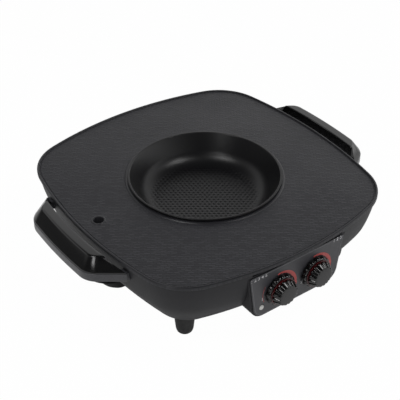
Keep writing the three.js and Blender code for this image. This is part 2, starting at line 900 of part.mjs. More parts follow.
// Thermal cut-out: a stepped disc on the well's floor, over its centre hole
function thermalCutout() {
  const low = wellFloor + sheet + seatGap;
  return turned([
    [0, low],
    [cutoutRadius, low],
    [cutoutRadius, low + cutoutHeight - cutoutStep],
    [cutoutRadius - cutoutStep, low + cutoutHeight - cutoutStep],
    [cutoutRadius - cutoutStep, low + cutoutHeight],
    [0, low + cutoutHeight],
  ]);
}

// Handles, drawn at +X and turned round for the left side

const handleOuterX = (y) =>
  plateHalfWidth + fingerGap + handleWidth - handleBow + Math.sqrt(handleBow ** 2 - y ** 2);
const handleInnerX = (y) => sideX(0, y) + fingerGap;

// Points along a function of Y
const edgeRun = (xAt, from, to) =>
  Array.from({ length: handleSteps + 1 }, (_, i) => {
    const y = from + ((to - from) * i) / handleSteps;
    return [xAt(y), y];
  });

// A whole plan from its half at +Y, which starts and ends at y = 0
const wholePlan = (half) => [
  ...half,
  ...half
    .slice(1, -1)
    .map(([x, y]) => [x, -y])
    .reverse(),
];

// The plan at arm level: outer edge, round corner, oblique arm, its root and the finger gap.
// The root's points are the ones given, or one at each end of the arm's width along the plate.
function lowerPlan(inset, root) {
  const centre = handleOuterX(handleHalfLength) - handleCornerRadius;
  const radius = handleCornerRadius - inset;
  const corner = Array.from({ length: arcSteps }, (_, i) => {
    const t = radians((handleCornerTurn * (i + 1)) / arcSteps);
    return [centre + radius * Math.cos(t), handleHalfLength + radius * Math.sin(t)];
  });
  return wholePlan([
    ...edgeRun((y) => handleOuterX(y) - inset, 0, handleHalfLength),
    ...corner,
    ...root,
    ...edgeRun((y) => handleInnerX(y) + inset, fingerGapHalf, 0),
  ]);
}

// The plan of the flat band on top, with as many points as the one below
function upperPlan(inset) {
  const ridge = (y) => handleOuterX(y) - gripSlopeWidth - inset;
  const inner = (y) => handleInnerX(y) + inset;
  const from = [ridge(gripRidgeHalf), gripRidgeHalf - inset];
  const to = [inner(gripBandHalf), gripBandHalf - inset];
  const spaces = arcSteps + 3;
  const end = Array.from({ length: spaces - 1 }, (_, i) => {
    const share = (i + 1) / spaces;
    return [0, 1].map((axis) => from[axis] + (to[axis] - from[axis]) * share);
  });
  return wholePlan([
    ...edgeRun(ridge, 0, gripRidgeHalf - inset),
    ...end,
    ...edgeRun(inner, gripBandHalf - inset, 0),
  ]);
}

const armInner = handleArmHalf - handleArmWidth;

// Handle frame: the lower moulding, hollow underneath with cross ribs. Its arms fit the base's wall.
function handleFrame() {
  const deep = (y) => sideX(handleArmBelow, y);
  const plan = lowerPlan(0, [
    [sideX(0, handleArmHalf), handleArmHalf],
    [deep(handleArmHalf), handleArmHalf],
    [deep(armInner), armInner],
    [sideX(0, armInner), armInner],
  ]);
  const pitch = (2 * handlePocketHalf) / handlePockets;
  const pockets = Array.from({ length: handlePockets }, (_, i) => {
    const from = pitch * i - handlePocketHalf + handleRibWidth / 2;
    const to = from + pitch - handleRibWidth;
    const outer = edgeRun((y) => handleOuterX(y) - handlePocketWall, from, to);
    const inner = edgeRun((y) => handleInnerX(y) + handlePocketWall, to, from);
    return prism([...outer, ...inner], handleFrameBottom - overrun, handleFrameTop - handlePocketRoof);
  });
  const bores = [-handleScrewY, handleScrewY].map((y) =>
    rod(
      handleScrewRadius + seatGap,
      handleWallX(0) - overrun,
      handleWallX(0) + handleScrewBite + seatGap,
      screwSegments,
    )
      .rotateY(Math.PI / 2)
      .translate(0, y, handleScrewZ),
  );
  const frame = prism(plan, handleFrameBottom, handleFrameTop);
  return cut(frame, shellForm(seatGap), ...pockets, ...bores);
}

// Handle grip: the glossy cover that rises from the frame's edge and arms to a flat band
function handleGrip() {
  const edgeX = (y) => sideX(0, y) + gripPlateGap;
  const arm = handleArmHalf - gripInset;
  const plan = lowerPlan(gripInset, [
    [edgeX(arm), arm],
    [edgeX(armInner), armInner],
  ]);
  return skin([
    ringAt(plan, gripLow),
    ringAt(plan, gripLow + gripLedge),
    ringAt(upperPlan(0), gripTop - gripEdge),
    ringAt(upperPlan(gripEdge), gripTop),
  ]);
}

// The base's wall at the handle screws: its outside, or further in by a depth
const handleWallX = (depth) => sideX(shellInsetAt(handleScrewZ) + depth, handleScrewY);
const handleScrewPlaces = () => fourPlaces(handleWallX(0), handleScrewY);

// How far a flat screw head stands off the leaning, curving wall at its middle
function handleHeadGap() {
  const lean = shellInsetAt(handleScrewZ - handleScrewHead) - shellInsetAt(handleScrewZ);
  const turn = sideX(0, handleScrewY) - sideX(0, handleScrewY + handleScrewHead);
  return seatGap + Math.hypot(lean, turn);
}

// How far in from the plate's edge the heads reach
const handleHeadInset = () =>
  sideX(0, handleScrewY) - handleWallX(shellWall) + handleHeadGap() + handleScrewHeadDepth;

// Handle screws run outwards through the base's wall into the arms.
function handleScrew(x, y) {
  const head = handleWallX(shellWall) - handleHeadGap();
  const length = handleWallX(0) + handleScrewBite - head;
  const side = Math.sign(x);
  return screw(handleScrewRadius, handleScrewHead, handleScrewHeadDepth, length)
    .rotateY((side * Math.PI) / 2)
    .translate(side * head, y, handleScrewZ);
}

// Control box

// The box's foot reaches the bottom cover. The strip on its top stands behind the plate's rib,
// and the box is deep enough there to carry it.
const boxDepthBottom = boxFace - plateHalfDepth + soleInset + boxReach;
const neckHalf = panelTopHalf - panelTopCorner - neckSideInset;
const neckFront = frontY(ribInset() + plateRibWidth, neckHalf) - neckRibGap;
const boxDepthTop = boxFace - neckFront + neckDepth;

// Its front outline: flat top, sides that draw in, and large round bottom corners
function panelOutline(grow) {
  const corner = panelCorner + grow;
  const topCorner = panelTopCorner + grow / 2;
  const top = panelTop + grow;
  const arc = Array.from({ length: arcSteps + 1 }, (_, i) => {
    const t = (Math.PI / 2) * (i / arcSteps);
    return [
      panelBottomHalf - panelCorner + corner * Math.sin(t),
      panelBottom + panelCorner - corner * Math.cos(t),
    ];
  });
  const half = [
    ...arc,
    [panelTopHalf + grow, top - topCorner],
    [panelTopHalf + grow - topCorner, top],
  ];
  return [...half, ...half.map(([x, z]) => [-x, z]).reverse()];
}

// How far in front of y = 0 the box's open back lies at a height
function boxBackAt(z) {
  const share = (z - panelBottom) / (panelTop - panelBottom);
  return boxFace - boxDepthBottom - (boxDepthTop - boxDepthBottom) * share;
}

// A body on the front outline, from a distance in front of y = 0 back to the leaning plane
const boxBody = (grow, front, backShift) =>
  skin(
    [
      panelOutline(grow).map(([x, z]) => new THREE.Vector3(x, -front, z)),
      panelOutline(grow).map(([x, z]) => new THREE.Vector3(x, backShift - boxBackAt(z), z)),
    ],
    false,
    ["x", "z"],
  );

// The strip above the box that reaches the plate's underside behind its rib
function boxNeck(grow, front) {
  const half = neckHalf + grow;
  const back = boxBackAt(panelTop) - grow;
  const low = panelTop - boxWall;
  const high = shellTop + grow;
  return block(
    2 * half,
    front - back,
    high - low,
    0,
    -(front + back) / 2,
    (low + high) / 2,
  );
}

// What the base and its cover leave free for the control box, open to the front
function boxSpace() {
  const front = panelFace + overrun;
  return join(boxBody(seatGap, front, seatGap), boxNeck(seatGap, front));
}

// Control box: a hollow wedge let into the base's front wall, which holds the thermostats
function controlBox() {
  const outer = join(boxBody(0, boxFace, 0), boxNeck(0, neckFront));
  return cut(outer, boxBody(-boxWall, boxInside, overrun), ...panelHoles());
}

// The two shaft holes and the lens hole, through the panel and the box's front
function panelHoles() {
  const hole = (radius, x, z) =>
    facingFront(rod(radius, boxInside - overrun, panelFace + overrun)).translate(x, 0, z);
  return [
    hole(bushRadius + bushHoleGap, -knobX, knobZ),
    hole(bushRadius + bushHoleGap, knobX, knobZ),
    hole(lensRadius + seatGap, lensX, lensZ),
  ];
}

// Control panel: the thin face plate
function controlPanel() {
  const plate = plank(panelOutline(-panelBorder), panelThickness);
  return cut(plate.translate(0, panelThickness / 2 - panelFace, 0), ...panelHoles());
}

// Indicator lens: a low dome with a flange behind the box's front
function indicatorLens() {
  const shoulder = boxInside - seatGap;
  const lens = turned([
    [0, shoulder - lensFlangeDepth],
    [lensRadius + lensFlange, shoulder - lensFlangeDepth],
    [lensRadius + lensFlange, shoulder],
    [lensRadius, shoulder],
    [lensRadius, panelFace + lensProud / 2],
    [lensRadius * lensDomeShare, panelFace + lensProud],
    [0, panelFace + lensProud],
  ]);
  return facingFront(lens).translate(lensX, 0, lensZ);
}

// The small lamp behind the lens
function indicatorLamp() {
  const front = boxInside - seatGap - lensFlangeDepth - seatGap;
  return facingFront(rod(lampRadius, front - lampLength, front)).translate(lensX, 0, lensZ);
}

// Thermostat: a square body with a bush through the panel and a bore for the shaft
function thermostat(x) {
  const front = boxInside - seatGap;
  const half = statSize / 2;
  const low = half - statCorner;
  const plan = [
    [low, -half],
    [half, -low],
    [half, low],
    [low, half],
    [-low, half],
    [-half, low],
    [-half, -low],
    [-low, -half],
  ];
  const bush = rod(bushRadius, front - statCorner, panelFace + bushProud);
  const bore = rod(shaftRadius + seatGap, shaftStart - seatGap, panelFace + overrun);
  const stat = cut(join(prism(plan, front - statDepth, front), bush), bore);
  return facingFront(stat).translate(x, 0, knobZ);
}

// Knob shaft: a D-shaped rod from the thermostat into the cap
function knobShaft(x) {
  const end = capLow + shaftBite - seatGap;
  const length = end - panelFace;
  const offset = shaftFlat + shaftRadius;
  const flat = block(2 * shaftRadius, 2 * shaftRadius, length, 0, offset, end - length / 2 + knobGap);
  return facingFront(cut(rod(shaftRadius, shaftStart, end), flat)).translate(x, 0, knobZ);
}

// A scalloped ring of points whose radius swells once for each lobe
function lobedRing(radius, lobes, z) {
  const count = lobes * pointsPerLobe;
  return Array.from({ length: count }, (_, i) => {
    const t = (2 * Math.PI * i) / count;
    const r = radius - (lobeDepth / 2) * (1 - Math.cos(lobes * t));
    return new THREE.Vector3(r * Math.cos(t), r * Math.sin(t), z);
  });
}

// Knob skirt: the scalloped base nearest the panel
function knobSkirt(x) {
  const high = skirtLow + skirtDepth;
  const front = skirtRadius - skirtTaper;
  const body = skin([
    lobedRing(skirtRadius - lobeDepth, skirtLobes, skirtLow),
    lobedRing(skirtRadius, skirtLobes, skirtLow + lobeDepth),
    lobedRing(front, skirtLobes, high - lobeDepth),
    lobedRing(front - lobeDepth, skirtLobes, high),
  ]);
  const bore = rod(shaftRadius + seatGap, skirtLow - overrun, high + overrun);
  return facingFront(cut(body, bore)).translate(x, 0, knobZ);
}

// Knob ring: the clear red band between skirt and cap
function knobRing(x) {
  const high = ringLow + ringDepth;
  const bore = shaftRadius + seatGap;
  const body = turned(
    closed([
      [bore, ringLow],
      [ringRadius, ringLow],
      [ringRadius, high - lobeDepth],
      [ringRadius - lobeDepth, high],
      [bore, high],
    ]),
    midSegments,
  );
  return facingFront(body).translate(x, 0, knobZ);
}

// Knob cap: a lobed disc with a narrowing grip bar across it
function knobCap(x) {
  const high = capLow + capDepth;
  const disc = skin([
    lobedRing(capRadius, capLobes, capLow),
    lobedRing(capRadius, capLobes, high - lobeDepth),
    lobedRing(capRadius - lobeDepth, capLobes, high),
  ]);
  const barRing = (narrow, z) => {
    const [w, l] = [gripBarWidth / 2 - narrow, gripBarLength / 2 - narrow];
    const bevel = gripBarBevel;
    const quarter = [
      [w, l - bevel],
      [w - bevel, l],
    ];
    const upper = [...quarter, ...quarter.map(([px, py]) => [-px, py]).reverse()];
    return ringAt([...upper, ...upper.map(([px, py]) => [-px, -py])], z);
  };
  const bar = skin([barRing(0, high - lobeDepth), barRing(gripBarBevel / 2, knobFront)]);
  bar.rotateZ(radians(gripBarTurn));
  const bore = rod(shaftRadius + seatGap, capLow - overrun, capLow + shaftBite);
  return facingFront(cut(join(disc, bar), bore)).translate(x, 0, knobZ);
}

// Feet under the corners, with a deep bore for the screw

const footPlaces = () => {
  const reach = (plateCornerRadius - shellBottomInset - footInset) * Math.SQRT1_2;
  return fourPlaces(cornerX + reach, cornerY + reach);
};

const footScrewHoles = () =>
  footPlaces().map(([x, y]) =>
    rod(footScrewRadius + seatGap, 0, flangeTop + overrun, screwSegments).translate(x, y, 0),
  );

function foot(x, y) {
  const top = footHeight - seatGap;
  return turned(
    closed([
      [footBore, 0],
      [footFlatRadius, 0],
      [footMidRadius, footFlatRise],
      [footBottomRadius, footShoulder],
      [footTopRadius, top],
      [footScrewRadius + seatGap, top],
      [footScrewRadius + seatGap, footBoreDepth],
      [footBore, footBoreDepth],
    ]),
  ).translate(x, y, 0);
}

// Foot screws run up through the feet, the cover and the flange.
function footScrew(x, y) {
  const head = footBoreDepth - seatGap;
  const length = flangeTop + footScrewBite - head;
  return screw(footScrewRadius, footScrewHead, footScrewHeadDepth, length).translate(x, y, head);
}

// Drip tray

// One level of the tray: square back corners, and a nose with two wide slanting corners
function trayPlan(inset, noseInset, noseCut) {
  const back = trayLength - trayReach - inset;
  const nose = noseInset - trayReach;
  const half = trayHalf - inset;
  const bulge = trayNoseBulge * Math.SQRT1_2;
  const upper = [
    [back, half - trayBackCut],
    [back - trayBackCut, half],
    [nose + noseCut, half],
    [nose + noseCut / 2 - bulge, half - noseCut / 2 + bulge],
    [nose, half - noseCut],
  ];
  return [...upper, ...upper.map(([x, y]) => [x, -y]).reverse()];
}

// Drip tray: a bowl with a leaning nose under a flat rim that runs in the rails
function dripTray() {
  const outside = trayRimWidth;
  const low = trayRimWidth + trayDraft;
  const lowNose = trayRimWidth + trayNoseDraft;
  return skin([
    ringAt(trayPlan(low + trayWall, lowNose + trayWall, trayNoseCutLow), trayBottom + trayWall),
    ringAt(trayPlan(outside + trayWall, outside + trayWall, trayNoseCut), trayRimTop),
    ringAt(trayPlan(0, 0, trayNoseCut), trayRimTop),
    ringAt(trayPlan(0, 0, trayNoseCut), trayRimTop - trayRimThickness),
    ringAt(trayPlan(outside, outside, trayNoseCut), trayRimTop - trayRimThickness),
    ringAt(trayPlan(low, lowNose, trayNoseCutLow), trayBottom),
  ]);
}

// Tray rail: a channel under the bottom cover that holds one edge of the tray's rim
function trayRail(side) {
  const inner = trayHalf + seatGap;
  const low = trayRimTop - trayRimThickness - seatGap - railSheet;
  const section = [
    [inner - railLip, low],
    [inner + railSheet, low],
    [inner + railSheet, railTop - railSheet],
    [inner + railSheet + railLip, railTop - railSheet],
    [inner + railSheet + railLip, railTop],
    [inner, railTop],
    [inner, low + railSheet],
    [inner - railLip, low + railSheet],
  ];
  const start = soleInset + railInset - plateHalfWidth;
  const rings = [start, start + railLength].map((x) =>
    section.map(([y, z]) => new THREE.Vector3(x, side * y, z)),
  );
  return skin(rings, false, ["y", "z"]);
}

// Drain chute: a funnel and pipe from under the plate's drain, through the base, to the tray
function drainChute() {
  const mouth = rimHeight - chuteMouthDrop;
  const neck = mouth - chuteFlareHeight;
  const inner = chuteRadius - chuteWall;
  return turned(
    closed([
      [inner, chuteEnd],
      [chuteRadius, chuteEnd],
      [chuteRadius, neck],
      [chuteFlare, mouth],
      [chuteFlare - chuteWall, mouth],
      [inner, neck],
    ]),
  ).translate(drainX, 0, 0);
}

// Power inlet

// The inlet's body, grown by a gap where the base leaves room for it
function inletBlock(grow) {
  const half = inletWidth / 2 + grow;
  const rise = inletHeight / 2 + grow;
  const front = [
    [half - inletCorner, -rise],
    [half, inletCorner - rise],
    [half, rise - inletCorner],
    [half - inletCorner, rise],
    [inletCorner - half, rise],
    [-half, rise - inletCorner],
    [-half, inletCorner - rise],
    [inletCorner - half, -rise],
  ];
  return plank(front, inletDepth).translate(0, inletOuter - inletDepth / 2, inletZ);
}

// Inlet housing: a shrouded recess in the back wall, with two slots for the pins
function inletHousing() {
  const cavity = block(
    inletWidth - 2 * inletWall,
    inletCavity + overrun,
    inletHeight - 2 * inletWall,
    0,
    inletOuter + (overrun - inletCavity) / 2,
    inletZ,
  );
  return cut(inletBlock(0), cavity, ...[-1, 1].map((side) => pinBlock(side, seatGap)));
}

// One flat pin, or the slot that it sits in when grown by a gap
function pinBlock(side, grow) {
  const front = inletOuter - inletCavity + pinReach;
  const back = inletOuter - inletDepth - pinTail;
  return block(
    pinWidth + 2 * grow,
    front - back + 2 * grow,
    pinHeight + 2 * grow,
    side * pinSpread,
    (front + back) / 2,
    inletZ,
  );
}

// Terminal block on the bottom cover, with wire holes in its front
function terminalBlock() {
  const low = coverTop + seatGap;
  const middle = low + terminalHeight / 2;
  const body = block(terminalWidth, terminalDepth, terminalHeight, 0, terminalY, middle);
  const front = terminalDepth / 2 - terminalY;
  const holes = [-terminalPitch, 0, terminalPitch].map((x) =>
    facingFront(rod(terminalHole, front - terminalHoleDepth, front + overrun)).translate(
      x,
      0,
      middle,
    ),
  );
  return cut(body, ...holes);
}

// Assembly

const group = new THREE.Group();

function add(name, geometry, material) {
  const mesh = new THREE.Mesh(geometry, material);
  mesh.name = name;
  group.add(mesh);
}

add("grill_plate", grillPlate(), coatedAluminium());
add("hot_pot", hotPot(), potCoating());
add("base_shell", baseShell(), satinPlastic());
add("bottom_cover", bottomCover(), zincSteel());
add("heat_reflector", heatReflector(), brightSteel());
add("pot_well", potWell(), brightSteel());
add("grill_heater", grillHeater(), heaterSheath());
add("pot_heater", potHeater(), heaterSheath());
bracketAngles.forEach((angle, i) => {
  add(`heater_bracket_${i + 1}`, heaterBracket(angle), zincSteel());
  add(`reflector_post_${i + 1}`, reflectorPost(angle), zincSteel());
});
standAngles.forEach((angle, i) => add(`coil_stand_${i + 1}`, coilStand(angle), zincSteel()));
add("thermal_cutout", thermalCutout(), ceramic());

const frame = handleFrame();
const grip = handleGrip();
add("handle_frame_right", frame, greyPlastic());
add("handle_frame_left", frame.clone().rotateZ(Math.PI), greyPlastic());
add("handle_grip_right", grip, blackGloss());
add("handle_grip_left", grip.clone().rotateZ(Math.PI), blackGloss());
handleScrewPlaces().forEach(([x, y], i) =>
  add(`handle_screw_${i + 1}`, handleScrew(x, y), zincSteel()),
);

add("control_box", controlBox(), satinPlastic());
add("control_panel", controlPanel(), panelGrey());
add("indicator_lens", indicatorLens(), whiteClear());
add("indicator_lamp", indicatorLamp(), ceramic());
for (const [side, x] of [
  ["left", -knobX],
  ["right", knobX],
]) {
  add(`thermostat_${side}`, thermostat(x), bakelite());
  add(`knob_shaft_${side}`, knobShaft(x), brass());
  add(`knob_skirt_${side}`, knobSkirt(x), blackGloss());
  add(`knob_ring_${side}`, knobRing(x), redClear());
  add(`knob_cap_${side}`, knobCap(x), blackGloss());
}

footPlaces().forEach(([x, y], i) => {
  add(`foot_${i + 1}`, foot(x, y), rubber());
  add(`foot_screw_${i + 1}`, footScrew(x, y), zincSteel());
});

add("drip_tray", dripTray(), satinPlastic());
add("tray_rail_front", trayRail(-1), zincSteel());
add("tray_rail_back", trayRail(1), zincSteel());
add("drain_chute", drainChute(), zincSteel());

add("inlet_housing", inletHousing(), bakelite());
add("inlet_pin_left", pinBlock(-1, 0), brass());
add("inlet_pin_right", pinBlock(1, 0), brass());
add("terminal_block", terminalBlock(), ceramic());

// The knobs stand further out at the front than the plate does at the back.
const originShift = (knobFront - plateHalfDepth) / 2;
for (const mesh of group.children) mesh.geometry.translate(0, originShift, 0);

export default group;
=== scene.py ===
# The looks of the table-top hot pot and grill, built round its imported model.
# Shapes are drawn in millimetres about the grill plate's centre, with the table at z = 0, and each
# finished piece is scaled to metres and moved to the frame's origin.

import math

import bmesh
import bpy
from mathutils import Matrix, Vector


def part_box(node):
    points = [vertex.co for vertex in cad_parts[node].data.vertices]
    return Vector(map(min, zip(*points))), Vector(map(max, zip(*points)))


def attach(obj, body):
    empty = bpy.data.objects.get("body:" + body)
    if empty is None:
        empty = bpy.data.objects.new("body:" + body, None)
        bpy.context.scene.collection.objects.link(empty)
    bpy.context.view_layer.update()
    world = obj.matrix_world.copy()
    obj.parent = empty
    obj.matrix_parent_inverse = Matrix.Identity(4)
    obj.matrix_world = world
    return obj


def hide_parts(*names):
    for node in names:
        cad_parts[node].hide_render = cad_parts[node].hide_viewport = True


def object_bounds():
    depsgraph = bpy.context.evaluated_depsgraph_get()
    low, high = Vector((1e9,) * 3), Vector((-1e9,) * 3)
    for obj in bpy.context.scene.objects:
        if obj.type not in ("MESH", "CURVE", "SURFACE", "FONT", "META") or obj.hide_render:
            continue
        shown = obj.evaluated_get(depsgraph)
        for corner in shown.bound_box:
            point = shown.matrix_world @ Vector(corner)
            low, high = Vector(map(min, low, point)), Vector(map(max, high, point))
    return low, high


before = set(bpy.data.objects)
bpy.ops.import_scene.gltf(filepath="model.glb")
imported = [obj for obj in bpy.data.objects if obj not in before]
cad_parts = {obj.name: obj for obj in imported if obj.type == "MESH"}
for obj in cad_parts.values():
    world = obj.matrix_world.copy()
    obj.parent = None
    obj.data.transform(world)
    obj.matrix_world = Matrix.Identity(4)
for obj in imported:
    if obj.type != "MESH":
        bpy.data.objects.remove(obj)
cad_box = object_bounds()

MM = 0.001
PLATE_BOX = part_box("grill_plate")
CENTRE = Vector(((PLATE_BOX[0].x + PLATE_BOX[1].x) / 2, (PLATE_BOX[0].y + PLATE_BOX[1].y) / 2, 0))


def span(node):
    """A node's lowest and highest corner, in millimetres about the plate's centre."""
    return [(corner - CENTRE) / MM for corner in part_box(node)]


def middle(node):
    low, high = span(node)
    return (low + high) / 2


# Sizes that the frame gives
HALF_WIDTH = span("grill_plate")[1].x
HALF_DEPTH = span("grill_plate")[1].y
RIM = span("grill_plate")[1].z
POT_RADIUS = span("hot_pot")[1].x
POT_TOP = span("hot_pot")[1].z
POT_UNDERSIDE = span("hot_pot")[0].z
SHELL_TOP = span("base_shell")[1].z
SOLE = span("base_shell")[0].z
DRAIN_X = middle("drain_chute").x

# The plate's square-round plan
SIDE_BOW = 608.5
FRONT_BOW = 454.9
CORNER_RADIUS = 71.6
SIDE_STEPS = 8
CORNER_STEPS = 14

# Fineness of round forms
ROUND = 128
MEDIUM = 64
SMALL = 32
FILLET_STEPS = 3
FILLET_SHARE = 0.49
SMOOTH_ANGLE = math.radians(32)

# Gap between touching pieces, and how far cutting tools run past what they cut
GAP = 0.3
OVERRUN = 20


# Mesh making

def evenly(start, end, steps):
    """Values from a start to an end, with so many equal steps between them."""
    return [start + (end - start) * i / steps for i in range(steps + 1)]


def all_round(steps):
    """So many angles that go once round."""
    return evenly(0, 2 * math.pi, steps)[:-1]


def rounded(corners, sizes, closed=True):
    """Rounds the corners of a line of points, each by its own size, or less where an edge is short."""
    points = []
    count = len(corners)
    for i, (here, size) in enumerate(zip(corners, sizes)):
        if size == 0 or (not closed and i in (0, count - 1)):
            points.append(here)
            continue
        before = corners[i - 1] - here
        after = corners[(i + 1) % count] - here
        reach = min(size, before.length * FILLET_SHARE, after.length * FILLET_SHARE)
        start = here + before.normalized() * reach
        end = here + after.normalized() * reach
        for t in evenly(0, 1, FILLET_STEPS):
            points.append(start * (1 - t) ** 2 + here * 2 * t * (1 - t) + end * t * t)
    return points


def filleted(corners, closed=True):
    """Rounds an outline whose corners are (a, b) or (a, b, size)."""
    places = [Vector(corner[:2]) for corner in corners]
    sizes = [corner[2] if len(corner) > 2 else 0 for corner in corners]
    return rounded(places, sizes, closed)


def mesh_piece(name, points, faces):
    """An object from points and faces, with doubles merged and its faces turned outwards."""
    mesh = bpy.data.meshes.new(name)
    mesh.from_pydata(points, [], faces)
    work = bmesh.new()
    work.from_mesh(mesh)
    bmesh.ops.remove_doubles(work, verts=work.verts, dist=MM)
    bmesh.ops.recalc_face_normals(work, faces=work.faces)
    work.to_mesh(mesh)
    work.free()
    piece = bpy.data.objects.new(name, mesh)
    bpy.context.collection.objects.link(piece)
    return piece


def loft(name, rings, closed=False, ends=True):
    """A skin over rings of equally many points. It closes on itself, or flat ends close it."""
    count = len(rings[0])
    faces = []
    for i in range(len(rings) if closed else len(rings) - 1):
        low = i * count
        high = (i + 1) % len(rings) * count
        for k in range(count):
            n = (k + 1) % count
            faces.append((low + k, low + n, high + n, high + k))
    if not closed and ends:
        faces.append(tuple(range(count)))
        faces.append(tuple(range((len(rings) - 1) * count, len(rings) * count)))
    return mesh_piece(name, [p for ring in rings for p in ring], faces)


def rounded_loft(name, rings, closed=False):
    """A loft over (ring, size) pairs, where a size rounds the edge that runs along its ring."""
    sizes = [size for ring, size in rings]
    columns = [rounded(list(column), sizes, closed) for column in zip(*[ring for ring, size in rings])]
    return loft(name, list(zip(*columns)), closed)


def polar(radius, angle, z=0.0):
    return Vector((radius * math.cos(angle), radius * math.sin(angle), z))


def eased(share):
    """A share held between 0 and 1 that leaves both of them gently."""
    share = min(max(share, 0), 1)
    return share * share * (3 - 2 * share)


def circle(radius, z, steps=MEDIUM, lobes=0, depth=0.0):
    """A ring of points. With lobes its edge bulges so many times, with a valley of a depth between."""
    points = []
    for t in all_round(steps):
        points.append(polar(radius - depth * (1 - abs(math.cos(lobes * t / 2))), t, z))
    return points


def turned(name, profile, steps=MEDIUM, closed=True):
    """A turned body from (radius, height, fillet) corners. An open profile starts and ends on the axis."""
    rings = [circle(r, z, steps) for r, z in filleted(profile, closed)]
    return loft(name, rings, closed, ends=False)


def ring_of(plan, z):
    return [Vector((x, y, z)) for x, y in plan]


def prism(name, plan, low, high):
    return loft(name, [ring_of(plan, low), ring_of(plan, high)])


def rod(name, radius, low, high, steps=SMALL):
    return loft(name, [circle(radius, low, steps), circle(radius, high, steps)])


def block(name, low, high):
    plan = [(low[0], low[1]), (high[0], low[1]), (high[0], high[1]), (low[0], high[1])]
    return prism(name, plan, low[2], high[2])


def moved(piece, x=0.0, y=0.0, z=0.0):
    piece.data.transform(Matrix.Translation((x, y, z)))
    return piece


def hole(radius, low, high, x=0.0, y=0.0):
    """An upright round tool that cuts a hole at a place."""
    return moved(rod("hole", radius, low, high), x, y)


def mirrored(half):
    """A whole outline from the half of it at positive x."""
    return [*half, *[Vector((-p.x, p.y)) for p in reversed(half)]]


def facing_front(piece, x, z):
    """Turns what stands along +Z so that it points to the front, about an axis at x and z."""
    piece.data.transform(Matrix.Rotation(math.pi / 2, 4, "X"))
    return moved(piece, x, 0, z)


def final_mesh(thing):
    """The mesh that an object's modifiers, or a text's outlines, come to."""
    graph = bpy.context.evaluated_depsgraph_get()
    return bpy.data.meshes.new_from_object(thing.evaluated_get(graph))


def combined(piece, operation, tools):
    """Adds tools to a piece or takes them out of it, and does away with them."""
    for tool in tools:
        step = piece.modifiers.new("combine", "BOOLEAN")
        step.operation = operation
        step.solver = "EXACT"
        step.object = tool
    mesh = final_mesh(piece)
    piece.modifiers.clear()
    piece.data = mesh
    for tool in tools:
        bpy.data.objects.remove(tool)
    return piece


def cut(piece, *tools):
    return combined(piece, "DIFFERENCE", tools)


def join(piece, *others):
    return combined(piece, "UNION", others)


def soften(piece, width):
    """Rounds a piece's sharp edges by a width in the piece's own units."""
    edge = piece.modifiers.new("soft edges", "BEVEL")
    edge.width = width
    edge.segments = 2
    edge.limit_method = "ANGLE"
    edge.angle_limit = SMOOTH_ANGLE
    edge.harden_normals = True


def tube(name, path, radius, steps=SMALL):
    """A round tube along a path, with its section carried from point to point without twist."""
    rings = []
    side = None
    for i, here in enumerate(path):
        along = (path[min(i + 1, len(path) - 1)] - path[max(i - 1, 0)]).normalized()
        side = along.orthogonal() if side is None else side - along * side.dot(along)
        side = side.normalized()
        up = along.cross(side)
        rings.append([here + (side * math.cos(t) + up * math.sin(t)) * radius for t in all_round(steps)])
    return loft(name, rings)


def finished(piece, finish):
    piece.data.materials.clear()
    piece.data.materials.append(finish)


def settle(piece, finish, slot, body, *nodes):
    """Scales a piece to metres in the frame, finishes it and makes it ride in its nodes' place."""
    for step in piece.modifiers:
        if step.type == "BEVEL":
            step.width *= MM
    piece.data.transform(Matrix.Translation(CENTRE) @ Matrix.Scale(MM, 4))
    piece.data.shade_smooth()
    piece.data.set_sharp_from_angle(angle=SMOOTH_ANGLE)
    finished(piece, finish)
    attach(piece, body)
    if nodes:
        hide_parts(*nodes)


# Material making

# The part of a noise's range that most of it lies in, and the stretch that rolling gives a sheet
MOTTLE = (0.3, 0.7)
ROLLED = (1.0, 0.12, 1.0)


def linear(hex_colour):
    """An sRGB colour such as 0x3a3a3d as the linear colour that shaders take."""
    def channel(shift):
        value = (hex_colour >> shift & 255) / 255
        return value / 12.92 if value <= 0.04045 else ((value + 0.055) / 1.055) ** 2.4
    return (channel(16), channel(8), channel(0), 1.0)


def add(tree, kind, inputs=(), **settings):
    """Adds a node. Inputs maps its sockets to values or to the sockets that feed them."""
    made = tree.nodes.new(kind)
    for name, value in settings.items():
        setattr(made, name, value)
    for socket, value in dict(inputs).items():
        if isinstance(value, bpy.types.NodeSocket):
            tree.links.new(value, made.inputs[socket])
        else:
            made.inputs[socket].default_value = value
    return made


def material(name):
    """A new material and its empty node tree."""
    made = bpy.data.materials.new(name)
    made.use_nodes = True
    made.node_tree.nodes.clear()
    return made, made.node_tree


